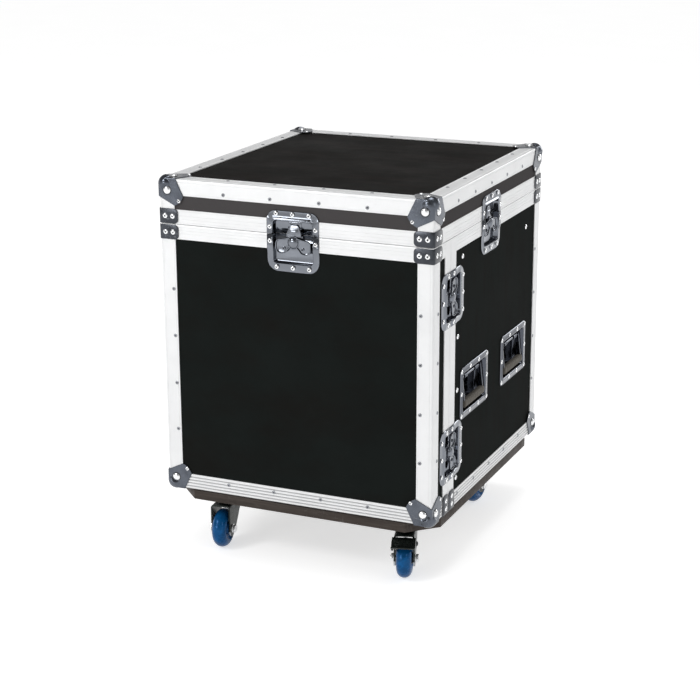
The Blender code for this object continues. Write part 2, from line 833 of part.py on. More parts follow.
def handle_bail():
    """The swinging bail: pin, two arms and the grip, in a frame on the pin's axis."""
    reach = HANDLE_PAN_HALF_WIDTH + PAN_WALL - FIT
    pin = cylinder(HANDLE_PIN_RADIUS, -reach, reach)
    pin.transform(across_u(0, 0))
    grip_v = -HANDLE_PIVOT_UP - GRIP_DOWN
    grip_n = HANDLE_PIVOT_DEPTH + GRIP_OUT
    half = BAIL_ARM_WIDTH / 2
    slope = Vector((grip_v, grip_n)).normalized()
    normal = Vector((-slope.y, slope.x)) * half
    end = Vector((grip_v, grip_n)) + slope * 0.002
    start = math.degrees(math.atan2(normal.y, normal.x))
    top = arc((0, 0), half * 1.25, start, start + 180, 5)
    outline = [tuple(end + normal), *top, tuple(end - normal)]
    arms = []
    for side in (-1, 1):
        middle = side * (GRIP_LENGTH / 2 - BAIL_ARM_WALL / 2 - 0.0005)
        arm = prism(outline, middle - BAIL_ARM_WALL / 2, middle + BAIL_ARM_WALL / 2)
        arm.transform(across_u(0, 0))
        arms.append(arm)
    half_v, half_n = GRIP_HEIGHT / 2, GRIP_THICKNESS / 2
    section = rounded_rectangle((-half_v, half_v), (-half_n, half_n), (half_n * 0.75,) * 4)
    grip = prism(section, -GRIP_LENGTH / 2, GRIP_LENGTH / 2)
    grip.transform(across_u(grip_v, grip_n))
    return joined([grip, *arms, pin])


def handle_cutter(matrix):
    """The hole that a handle's pan needs in the side panel."""
    return moved(handle_pan(PAN_WALL + LATCH_CUT_PLAY, -0.030, 0.010), matrix)


# Casters

def caster_positions():
    """Swivel axes of the casters, by name."""
    x, y = HALF_WIDTH - CASTER_FROM_SIDE, HALF_DEPTH - CASTER_FROM_END
    return {
        "front_left": (-x, -y),
        "front_right": (x, -y),
        "rear_left": (-x, y),
        "rear_right": (x, y),
    }


def fork_levels():
    """Top of the fork's crown and of its kingpin above the floor."""
    return RACE_LOW - FIT, RACE_LOW + RACE_HEIGHT - 0.002


def caster_top(x, y):
    """The fixed plate and ball race of a caster, with the bore for the kingpin left open."""
    half_x, half_y = CASTER_PLATE[0] / 2, CASTER_PLATE[1] / 2
    outline = rounded_rectangle((-half_x, half_x), (-half_y, half_y), (0.008,) * 4)
    plate_low = CASTER_HEIGHT - CASTER_PLATE_WALL
    place = Matrix.Translation((x, y, 0))
    plate = prism(outline, plate_low, CASTER_HEIGHT + 0.001, place)
    race = cylinder(
        RACE_RADIUS - 0.003,
        plate_low - RACE_HEIGHT,
        plate_low + 0.001,
        16,
        place,
        top_radius=RACE_RADIUS,
    )
    return [plate, race]


def kingpin_bore(x, y):
    """The blind bore in a ball race that the kingpin turns in."""
    crown_top, pin_top = fork_levels()
    place = Matrix.Translation((x, y, 0))
    return cylinder(
        KINGPIN_RADIUS + FIT, crown_top - 0.004, pin_top + 2 * FIT, matrix=place
    )


def caster_fork():
    """A pressed fork with its crown, kingpin and axle bolt. The wheel trails towards -y."""
    inner = HUB_WIDTH / 2 + FORK_SIDE_PLAY
    outer = inner + FORK_WALL
    head = FORK_HEAD
    channel = [
        (-outer, 0),
        *arc((-outer + FORK_BEND, head - FORK_BEND), FORK_BEND, 180, 90),
        *arc((outer - FORK_BEND, head - FORK_BEND), FORK_BEND, 90, 0),
        (outer, 0),
        (inner, 0),
        *arc((inner - 0.003, head - FORK_WALL - 0.003), 0.003, 0, 90, 2),
        *arc((-inner + 0.003, head - FORK_WALL - 0.003), 0.003, 90, 180, 2),
        (-inner, 0),
    ]
    upright = Matrix(((1, 0, 0), (0, 0, 1), (0, 1, 0))).to_4x4()
    strip = prism(channel, -0.080, 0.040, upright)
    eye = WHEEL_RADIUS
    side = [
        (CASTER_TRAIL + 0.015, head + 0.002),
        *arc((CASTER_TRAIL + 0.003, eye - 0.003), 0.012, 0, -120, 4),
        (CASTER_TRAIL - 0.020, eye + 0.001),
        (CASTER_TRAIL - 0.030, eye + 0.020),
        (CASTER_TRAIL - 0.052, head - 0.006),
        (CASTER_TRAIL - 0.055, head + 0.002),
    ]
    sideways = Matrix(((0, 0, 1), (-1, 0, 0), (0, 1, 0))).to_4x4()
    limit = prism(side, -outer - 0.01, outer + 0.01, sideways)
    fork = boolean(strip, [limit], "INTERSECT")
    crown_top, pin_top = fork_levels()
    crown = cylinder(CROWN_RADIUS, head - FORK_WALL / 2, crown_top, 16, top_radius=CROWN_RADIUS)
    kingpin = cylinder(KINGPIN_RADIUS, head, pin_top)
    axle_place = Matrix.Translation((0, -CASTER_TRAIL, eye)) @ Matrix.Rotation(
        math.pi / 2, 4, "Y"
    )
    axle = cylinder(AXLE_RADIUS, -outer - 0.007, outer + 0.009, matrix=axle_place)
    head_nut = cylinder(0.0075, outer - FIT, outer + 0.0050, 6, axle_place)
    tail_nut = cylinder(0.0075, -outer - 0.0055, -outer + FIT, 6, axle_place)
    return joined([fork, crown, kingpin, axle, head_nut, tail_nut])


def caster_wheel():
    """A crowned wheel with a raised hub, in a frame on its axle, which is x."""
    half = TREAD_WIDTH / 2
    rim = WHEEL_RADIUS - half
    tread = arc((rim, 0), half, 75, -75, 5)
    web = half - 0.0060
    bore = AXLE_RADIUS + FIT
    profile = [
        (bore, HUB_WIDTH / 2),
        (HUB_RADIUS, HUB_WIDTH / 2),
        (HUB_RADIUS + 0.002, web),
        (rim - 0.004, web),
        *tread,
        (rim - 0.004, -web),
        (HUB_RADIUS + 0.002, -web),
        (HUB_RADIUS, -HUB_WIDTH / 2),
        (bore, -HUB_WIDTH / 2),
    ]
    sideways = Matrix.Rotation(math.pi / 2, 4, "Y")
    return turned(profile, WHEEL_STEPS, sideways)


def brake_pedal():
    """A wrap-round brake pedal, in a frame on its pivot, with the wheel towards -y."""
    inner = HUB_WIDTH / 2 + FORK_SIDE_PLAY + FORK_WALL + 2 * FIT
    outer = inner + PEDAL_WALL
    sideways = Matrix(((0, 0, 1), (-1, 0, 0), (0, 1, 0))).to_4x4()
    nose = (0.037, 0.004)
    ear = [
        *arc((0, 0), 0.009, 90, 250, 5),
        (0.016, -0.010),
        (0.030, -0.004),
        nose,
        (0.014, 0.016),
    ]
    ears = []
    for side in (-1, 1):
        middle = side * (inner + outer) / 2
        ears.append(prism(ear, middle - PEDAL_WALL / 2, middle + PEDAL_WALL / 2, sideways))
        head = side * (outer + 0.0015)
        ears.append(
            cylinder(0.0045, -0.0025, 0.0025, matrix=Matrix.Translation((head, 0, 0))
                     @ Matrix.Rotation(math.pi / 2, 4, "Y"))
        )
    tread = [
        (0.012, 0.0145),
        (0.014, 0.0165),
        (0.038, 0.0050),
        (0.043, 0.0075),
        (0.044, 0.0055),
        (0.038, 0.0025),
    ]
    plate = prism(tread, -outer, outer, sideways)
    return joined([plate, *ears])


# The pieces, assembly by assembly

def build_lid(lid, alu, laminate):
    """The lid box, the edge frame with its ball corners, and the seam frame."""
    shell = box(
        (-HALF_WIDTH + SKIN, HALF_WIDTH - SKIN),
        (-HALF_DEPTH + SKIN, HALF_DEPTH - SKIN),
        (LID_SEAM + CHANNEL_FLOOR, TOP - SKIN),
    )
    hollow = box(
        (-HALF_WIDTH + INNER_SKIN, HALF_WIDTH - INNER_SKIN),
        (-HALF_DEPTH + INNER_SKIN, HALF_DEPTH - INNER_SKIN),
        (LID_SEAM, TOP - INNER_SKIN),
    )
    cutters = [latch_cutter(place, KEEPER_PAN_REACH, 1) for place in LID_LATCHES.values()]
    part("lid_shell", cut(shell, [hollow, *cutters]), laminate, lid)

    angles = [lying_ring(edge_section(), TOP, -1)]
    post_low = LID_SEAM + SEAM_LEG + FIT
    post = TOP - EDGE_ROUND - post_low
    corners = []
    for x, y in corner_signs():
        corner = (x * HALF_WIDTH, y * HALF_DEPTH, post_low)
        angles.append(edge_length(corner, (-x, 0, 0), (0, -y, 0), Z_AXIS, post))
        corners.append(((x * HALF_WIDTH, y * HALF_DEPTH, TOP), (-x, -y, -1)))
    part("lid_edge_frame", with_ball_corners(angles, corners), alu, lid)

    groove_side = lying_ring(tongue_section(), LID_SEAM, 1)
    start = COVER_SEAM + SEAM_LEG + 0.005
    tongue = trimmed(groove_side, (0, start, 0), (0, -1, 0))
    tongue = cut(tongue, [trim_cutter(place, 1) for place in LID_LATCHES.values()])
    pieces = [lying_ring(seam_section(False), LID_SEAM, 1), tongue]
    for x, y in corner_signs():
        corner = (x * HALF_WIDTH, y * HALF_DEPTH, LID_SEAM)
        pieces.append(brace(corner, (-x, 0, 0), (0, -y, 0), Z_AXIS))
    pans = []
    for place in LID_LATCHES.values():
        pieces += keeper_pieces(place)
        pans.append(moved(pan_hollow(KEEPER_PAN_REACH, 1), place))
    frame = cut(joined(pieces), pans)
    lips = [keeper_lip(place) for place in LID_LATCHES.values()]
    part("lid_seam_frame", joined([frame, *lips]), alu, lid)


def corner_signs():
    return [(x, y) for y in (-1, 1) for x in (-1, 1)]


def with_ball_corners(angles, corners):
    """Edge angles joined, opened at each corner, and capped there with a ball corner."""
    opened = []
    for corner, inward in corners:
        opened.append(corner_block(-EDGE_WALL, TRIM_CORNER_OPEN, inward, corner))
    frame = cut(joined(angles), opened)
    return joined([frame, *[ball_corner(corner, inward) for corner, inward in corners]])


def build_cover(cover, alu, laminate):
    """The front cover: a shallow box open at the back and at the top."""
    side = HALF_WIDTH - SKIN
    low, high = BOTTOM + SKIN, LID_SEAM - CHANNEL_FLOOR
    front, back = -HALF_DEPTH + SKIN, COVER_SEAM - CHANNEL_FLOOR
    shell = box((-side, side), (front, back), (low, high))
    hollow = box(
        (-side + PANEL, side - PANEL), (front + PANEL, back + 0.01), (low + PANEL, high + 0.01)
    )
    cutters = [latch_cutter(LID_LATCHES["front"], PAN_REACH, -1)]
    for place in COVER_LATCHES.values():
        cutters.append(latch_cutter(place, KEEPER_PAN_REACH, 1))
    part("cover_shell", cut(shell, [hollow, *cutters]), laminate, cover)

    post_high = LID_SEAM - SEAM_LEG - FIT
    run = COVER_DEPTH - SEAM_LEG - FIT
    corner = (-HALF_WIDTH, -HALF_DEPTH, BOTTOM)
    angles = [edge_length(corner, Y_AXIS, Z_AXIS, X_AXIS, CASE_WIDTH, 1, True)]
    corners = []
    for x in (-1, 1):
        corner = (x * HALF_WIDTH, -HALF_DEPTH, BOTTOM)
        angles.append(edge_length(corner, (-x, 0, 0), Z_AXIS, Y_AXIS, run, 2, True))
        height = post_high - BOTTOM
        angles.append(edge_length(corner, (-x, 0, 0), Y_AXIS, Z_AXIS, height, 3))
        corners.append((corner, (-x, 1, 1)))
    part("cover_edge_frame", with_ball_corners(angles, corners), alu, cover)

    upright = open_top(standing_ring(seam_section(False), COVER_SEAM, -1))
    end = COVER_SEAM - HALF_GAP - SEAM_WALL / 2
    level = trimmed(lying_ring(seam_section(False), LID_SEAM, -1), (0, end, 0), (0, 1, 0))
    tongue = trimmed(
        standing_ring(tongue_section(), COVER_SEAM, -1),
        (0, 0, LID_SEAM - SEAM_LEG - 0.005),
        (0, 0, 1),
    )
    tongue = cut(tongue, [trim_cutter(place, 1) for place in COVER_LATCHES.values()])
    pieces = [upright, level, tongue]
    for x in (-1, 1):
        corner = (x * HALF_WIDTH, -HALF_DEPTH, LID_SEAM)
        pieces.append(brace(corner, (-x, 0, 0), Y_AXIS, -Z_AXIS))
        corner = (x * HALF_WIDTH, COVER_SEAM, BOTTOM)
        pieces.append(brace(corner, (-x, 0, 0), Z_AXIS, -Y_AXIS))
    pans = [trim_cutter(LID_LATCHES["front"], -1)]
    for place in COVER_LATCHES.values():
        pieces += keeper_pieces(place)
        pans.append(moved(pan_hollow(KEEPER_PAN_REACH, 1), place))
    frame = cut(joined(pieces), pans)
    lips = [keeper_lip(place) for place in COVER_LATCHES.values()]
    part("cover_seam_frame", joined([frame, *lips]), alu, cover)


def build_body(alu, laminate):
    """The four fixed panels with their edge and seam trims."""
    front = COVER_SEAM + GROOVE_FLOOR
    back = HALF_DEPTH - SKIN
    side = HALF_WIDTH - SKIN
    floor = BOTTOM + SKIN
    roof = LID_SEAM - GROOVE_FLOOR
    part("bottom_panel", box((-side, side), (front, back), (floor, floor + PANEL)), laminate)
    wall_low = floor + PANEL + FIT
    rear = box((-side, side), (back - PANEL, back), (wall_low, roof))
    rear_cut = latch_cutter(LID_LATCHES["rear"], PAN_REACH, -1)
    part("rear_panel", cut(rear, [rear_cut]), laminate)
    for name, sign in (("left", -1), ("right", 1)):
        across = sorted((sign * side, sign * (side - PANEL)))
        wall = box(across, (front, back - PANEL - FIT), (wall_low, roof))
        cutters = [latch_cutter(LID_LATCHES[name], PAN_REACH, -1)]
        for level_name in ("lower", "upper"):
            place = COVER_LATCHES[f"{name}_{level_name}"]
            cutters.append(latch_cutter(place, PAN_REACH, -1))
        for place_name in ("front", "rear"):
            cutters.append(handle_cutter(HANDLES[f"{name}_{place_name}"]))
        part(f"{name}_side_panel", cut(wall, cutters), laminate)

    post_high = LID_SEAM - SEAM_LEG - FIT
    start = COVER_SEAM + SEAM_LEG + FIT
    corner = (-HALF_WIDTH, HALF_DEPTH, BOTTOM)
    angles = [edge_length(corner, -Y_AXIS, Z_AXIS, X_AXIS, CASE_WIDTH, 1, True)]
    corners = []
    for x in (-1, 1):
        corner = (x * HALF_WIDTH, HALF_DEPTH, BOTTOM)
        run = HALF_DEPTH - start
        angles.append(edge_length(corner, (-x, 0, 0), Z_AXIS, -Y_AXIS, run, 2, True))
        height = post_high - BOTTOM
        angles.append(edge_length(corner, (-x, 0, 0), -Y_AXIS, Z_AXIS, height, 3))
        corners.append((corner, (-x, -1, 1)))
    part("body_edge_frame", with_ball_corners(angles, corners), alu)

    upright = open_top(standing_ring(seam_section(True), COVER_SEAM, 1))
    start = COVER_SEAM + HALF_GAP + SEAM_WALL / 2
    level = trimmed(lying_ring(seam_section(True), LID_SEAM, -1), (0, start, 0), (0, -1, 0))
    pieces = [upright, level]
    for x in (-1, 1):
        corner = (x * HALF_WIDTH, HALF_DEPTH, LID_SEAM)
        pieces.append(brace(corner, (-x, 0, 0), -Y_AXIS, -Z_AXIS))
        corner = (x * HALF_WIDTH, COVER_SEAM, BOTTOM)
        pieces.append(brace(corner, (-x, 0, 0), Z_AXIS, Y_AXIS))
    cutters = []
    for name, place in LID_LATCHES.items():
        if name != "front":
            cutters.append(trim_cutter(place, -1))
    for place in COVER_LATCHES.values():
        cutters.append(trim_cutter(place, -1))
    part("body_seam_frame", cut(joined(pieces), cutters), alu)


def rack_rail(units):
    """A rail on the right: z runs along it, y into the case, x is the case's own."""
    length = units * RACK_UNIT - 2 * FIT
    edge = RAIL_EDGE
    outline = [
        (edge, 0),
        (edge, RAIL_SIDE_LEG),
        (edge - RAIL_WALL, RAIL_SIDE_LEG),
        (edge - RAIL_WALL, RAIL_WALL),
        (RAIL_FACE_INNER, RAIL_WALL),
        (RAIL_FACE_INNER, 0),
    ]
    rail = prism(outline, 0, length)
    holes = bmesh.new()
    for unit in range(units):
        for step in RAIL_HOLE_STEPS:
            place = Matrix.Translation((RAIL_HOLE_X, 0, unit * RACK_UNIT + step))
            bmesh.ops.create_cube(holes, size=RAIL_HOLE, matrix=place)
    return cut(rail, [mesh_from(holes)])


def build_rack(steel, alu):
    """The front and top rack rails, and the bar between the two openings."""
    front_face = COVER_SEAM + FRONT_RAIL_SETBACK
    low = BOTTOM + FRONT_RAIL_LIFT
    mirror = Matrix.Diagonal((-1, 1, 1, 1))
    upright = Matrix.Translation((0, front_face, low))
    front = rack_rail(FRONT_UNITS)
    part("front_rail_right", moved(front, upright), steel)
    part("front_rail_left", moved(front, mirror @ upright), steel)

    face_z = LID_SEAM - TOP_RAIL_DROP
    start = COVER_SEAM + TOP_RAIL_SETBACK
    lying = Matrix(((1, 0, 0), (0, 0, 1), (0, -1, 0))).to_4x4()
    fall = Matrix.Rotation(-TOP_RAIL_FALL, 4, "X")
    placed = Matrix.Translation((0, start, face_z)) @ fall @ lying
    top = rack_rail(TOP_UNITS)
    part("top_rail_right", moved(top, placed), steel)
    part("top_rail_left", moved(top, mirror @ placed), steel)

    half = HALF_WIDTH - CHANNEL_DEPTH - FIT
    near = COVER_SEAM + HALF_GAP
    high = LID_SEAM - CROSSBAR_DROP
    tube = box((-half, half), (near, near + CROSSBAR_DEPTH), (high - CROSSBAR_HEIGHT, high))
    bore = box(
        (-HALF_WIDTH, HALF_WIDTH),
        (near + CROSSBAR_WALL, near + CROSSBAR_DEPTH - CROSSBAR_WALL),
        (high - CROSSBAR_HEIGHT + CROSSBAR_WALL, high - CROSSBAR_WALL),
    )
    part("front_crossbar", cut(tube, [bore]), alu)


def build_latches(cover, steel):
    """Dish, wing and claw of each latch."""
    dish, wing, claw = latch_dish(), latch_wing(), latch_claw()
    to_hub = Matrix.Translation((0, -HUB_BELOW_SEAM, 0))
    for kind, places in (("lid_latch", LID_LATCHES), ("cover_latch", COVER_LATCHES)):
        for name, place in places.items():
            parent = cover if (kind, name) == ("lid_latch", "front") else None
            part(f"{kind}_{name}_dish", dish, steel, parent, place)
            part(f"{kind}_{name}_claw", claw, steel, parent, place @ to_hub)
            part(f"{kind}_{name}_wing", wing, steel, parent, place @ to_hub)


def build_handles(steel, rubber):
    """Dish and bail of each handle."""
    dish, bail = handle_dish(), handle_bail()
    to_pin = Matrix.Translation((0, HANDLE_PIVOT_UP, -HANDLE_PIVOT_DEPTH))
    for name, place in HANDLES.items():
        part(f"handle_{name}_dish", dish, steel, matrix=place)
        part(f"handle_{name}_bail", bail, rubber, matrix=place @ to_pin)


def build_casters(wood, dark_steel, blue):
    """The caster board with the casters' fixed tops, and the forks, wheels and pedals."""
    half_x, half_y = HALF_WIDTH - BOARD_INSET, HALF_DEPTH - BOARD_INSET
    notch = BOARD_CORNER_CUT
    outline = [
        (-half_x + notch, -half_y),
        (half_x - notch, -half_y),
        (half_x, -half_y + notch),
        (half_x, half_y - notch),
        (half_x - notch, half_y),
        (-half_x + notch, half_y),
        (-half_x, half_y - notch),
        (-half_x, -half_y + notch),
    ]
    pieces = [prism(outline, CASTER_HEIGHT, CASTER_HEIGHT + BOARD_THICKNESS)]
    bores = []
    for x, y in caster_positions().values():
        pieces += caster_top(x, y)
        bores.append(kingpin_bore(x, y))
    part("caster_board", cut(joined(pieces), bores), wood)

    fork, wheel, pedal = caster_fork(), caster_wheel(), brake_pedal()
    for name, (x, y) in caster_positions().items():
        yaw = Matrix.Rotation(CASTER_YAWS[name], 4, "Z")
        swivel = Matrix.Translation((x, y, 0)) @ yaw
        part(f"caster_{name}_fork", fork, dark_steel, matrix=swivel)
        axle = Matrix.Translation((0, -CASTER_TRAIL, WHEEL_RADIUS))
        part(f"caster_{name}_wheel", wheel, blue, matrix=swivel @ axle)
        if name in BRAKED:
            pivot = Matrix.Translation((0, -PEDAL_PIN_TRAIL, FORK_HEAD - PEDAL_PIN_DROP))
            part(f"caster_{name}_pedal", pedal, dark_steel, matrix=swivel @ pivot)


def main():
    """Builds the case from its driving dimensions."""
    laminate = painted("black_laminate", (0.012, 0.013, 0.014), 0.45, 0.0)
    alu = painted("anodised_aluminium", (0.78, 0.79, 0.80), 0.38, 0.9)
    bright = painted("nickelled_steel", (0.62, 0.64, 0.67), 0.18, 1.0)
    zinc = painted("zinc_plated_steel", (0.45, 0.47, 0.50), 0.35, 1.0)
    dark_steel = painted("black_steel", (0.03, 0.04, 0.04), 0.35, 0.8)
    wood = painted("stained_plywood", (0.11, 0.085, 0.07), 0.7, 0.0)
    blue = painted("blue_polyurethane", (0.01, 0.06, 0.22), 0.25, 0.0)
    rubber = painted("grip_rubber", (0.25, 0.23, 0.19), 0.8, 0.0)

    lid = assembly("lid", (0, 0, LID_SEAM))
    cover = assembly("cover", (0, COVER_SEAM, BOTTOM))
    build_body(alu, laminate)
    build_rack(zinc, alu)
    build_lid(lid, alu, laminate)
    build_cover(cover, alu, laminate)
    build_latches(cover, bright)
    build_handles(bright, rubber)
    build_casters(wood, dark_steel, blue)


for stale in list(bpy.data.objects):
    bpy.data.objects.remove(stale, do_unlink=True)
CASE = bpy.data.collections.new("combination_rack_case")
WORKSHOP = bpy.data.collections.new("workshop")
bpy.context.scene.collection.children.link(CASE)
bpy.context.scene.collection.children.link(WORKSHOP)
WORKSHOP.hide_render = True
main()
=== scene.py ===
"""Looks of the combination rack case: aluminium edges, pressed steel fittings, latches, handles,
casters and finishes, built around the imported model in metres, with +Z up and the cover at -Y."""

from __future__ import annotations

import logging
import math
from dataclasses import dataclass, replace
from enum import Enum
from typing import Iterable, Sequence

import bmesh
import bpy
from mathutils import Matrix, Vector


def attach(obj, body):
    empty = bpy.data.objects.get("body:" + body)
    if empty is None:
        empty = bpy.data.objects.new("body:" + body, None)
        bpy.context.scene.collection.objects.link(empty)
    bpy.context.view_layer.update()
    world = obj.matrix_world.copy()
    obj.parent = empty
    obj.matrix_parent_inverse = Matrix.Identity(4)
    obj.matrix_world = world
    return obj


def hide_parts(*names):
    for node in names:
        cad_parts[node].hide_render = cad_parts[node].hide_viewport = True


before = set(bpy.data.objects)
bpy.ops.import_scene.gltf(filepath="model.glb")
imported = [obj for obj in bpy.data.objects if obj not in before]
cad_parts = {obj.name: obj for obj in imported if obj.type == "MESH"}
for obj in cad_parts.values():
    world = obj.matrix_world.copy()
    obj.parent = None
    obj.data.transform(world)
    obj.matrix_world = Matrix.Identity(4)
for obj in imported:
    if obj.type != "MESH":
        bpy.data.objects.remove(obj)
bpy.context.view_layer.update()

LOG = logging.getLogger("rack_case")

Point = tuple[float, float]
Span = tuple[float, float]
Colour = tuple[float, float, float]
Material = bpy.types.Material
Socket = bpy.types.NodeSocket

X_AXIS = Vector((1, 0, 0))
Y_AXIS = Vector((0, 1, 0))
Z_AXIS = Vector((0, 0, 1))
SIDEWAYS = Matrix(((0, 0, 1), (1, 0, 0), (0, 1, 0))).to_4x4()
FACE_TURNS = (Matrix.Identity(4), SIDEWAYS, Matrix(((0, 1, 0), (0, 0, 1), (1, 0, 0))).to_4x4())
HALF_TURN = Matrix.Rotation(math.pi, 4, "X")

# Outer sizes of the case and the seams between its three boxes
HALF_WIDTH = 0.2675
HALF_DEPTH = 0.2925
BOTTOM = 0.1281
TOP = 0.7231
LID_SEAM = 0.6396
COVER_SEAM = -0.2100

# Where the casters stand in from the sides, and how far each is turned, in the order of CORNERS
CASTER_INSET = (0.082, 0.085)
CASTER_YAWS = (8, 17, 3, -6)

# Shared thicknesses and tolerances
WALL = 0.0015
PLAY = 0.0003
SKIN = 0.0018
PLATE_EDGE = 0.0011
PLATE_TOP = 0.0018
RIDGE_TOP = 0.0024
MERGE = 1e-6
SMOOTH_ANGLE = math.radians(38)


class Slot(Enum):
    """Material slots of the record."""

    LAMINATE = "black_laminate"
    ALUMINIUM = "anodised_aluminium"
    BRIGHT = "nickelled_steel"
    ZINC = "zinc_plated_steel"
    BLACK = "black_steel"
    PLYWOOD = "stained_plywood"
    BLUE = "blue_polyurethane"
    RUBBER = "grip_rubber"


class Body(Enum):
    """Bodies that the fixed trims ride on."""

    CASE = "root"
    LID = "lid"
    COVER = "cover"


# Shaping


def frame_at(origin: Sequence[float], u_axis: Vector, v_axis: Vector) -> Matrix:
    """Returns the matrix of a local frame.

    Args:
        origin: The frame's origin.
        u_axis: Direction of the local x axis.
        v_axis: Direction of the local y axis.

    Returns:
        A matrix whose z axis is the normal of the other two.
    """
    turn = Matrix((u_axis, v_axis, u_axis.cross(v_axis))).transposed().to_4x4()
    return Matrix.Translation(origin) @ turn


def arc(centre: Point, radius: float, start: float, end: float, steps: int) -> list[Point]:
    """Returns points on an arc, both ends included.

    Args:
        centre: Centre of the arc.
        radius: Radius of the arc.
        start: First angle, in degrees.
        end: Last angle, in degrees.
        steps: Number of equal steps between them.

    Returns:
        The points in order.
    """
    angles = [math.radians(start + (end - start) * step / steps) for step in range(steps + 1)]
    return [(centre[0] + radius * math.cos(a), centre[1] + radius * math.sin(a)) for a in angles]


def rounded(x: Span, y: Span, radii: Sequence[float], steps: int = 4) -> list[Point]:
    """Returns a rectangle with rounded corners.

    Args:
        x: Low and high x.
        y: Low and high y.
        radii: Corner radii, anticlockwise from the low, low corner.
        steps: Steps round each corner.

    Returns:
        The outline, anticlockwise, with the same number of points at each corner.
    """
    corners = [
        (x[0] + radii[0], y[0] + radii[0], 180),
        (x[1] - radii[1], y[0] + radii[1], 270),
        (x[1] - radii[2], y[1] - radii[2], 0),
        (x[0] + radii[3], y[1] - radii[3], 90),
    ]
    points: list[Point] = []
    for (centre_x, centre_y, start), radius in zip(corners, radii):
        points += arc((centre_x, centre_y), radius, start, start + 90, steps)
    return points


def grown(outline: Sequence[Point], by: float) -> list[Point]:
    """Returns a closed anticlockwise outline moved outwards by a distance, or inwards if negative.

    Args:
        outline: The points in order.
        by: How far each side moves.

    Returns:
        The moved points, one for each given point.
    """
    result: list[Point] = []
    count = len(outline)
    for index in range(count):
        before, here, after = outline[index - 1], outline[index], outline[(index + 1) % count]
        first = Vector((here[1] - before[1], before[0] - here[0])).normalized()
        second = Vector((after[1] - here[1], here[0] - after[0])).normalized()
        mitre = (first + second).normalized()
        reach = by / max(0.3, mitre.dot(first))
        result.append((here[0] + mitre.x * reach, here[1] + mitre.y * reach))
    return result


def eased(share: float) -> float:
    """Returns a share held between 0 and 1, with a soft start and end."""
    held = min(1, max(0, share))
    return held * held * (3 - 2 * held)


def mirrored(profile: Sequence[Point]) -> list[Point]:
    """Returns a profile's points at the opposite heights, in the opposite order."""
    return [(radius, -height) for radius, height in reversed(profile)]


def corner_name(x: int, y: int) -> str:
    """Returns what a corner of the case is called, from the signs of its place."""
    return f"{'front' if y < 0 else 'rear'}_{'left' if x < 0 else 'right'}"


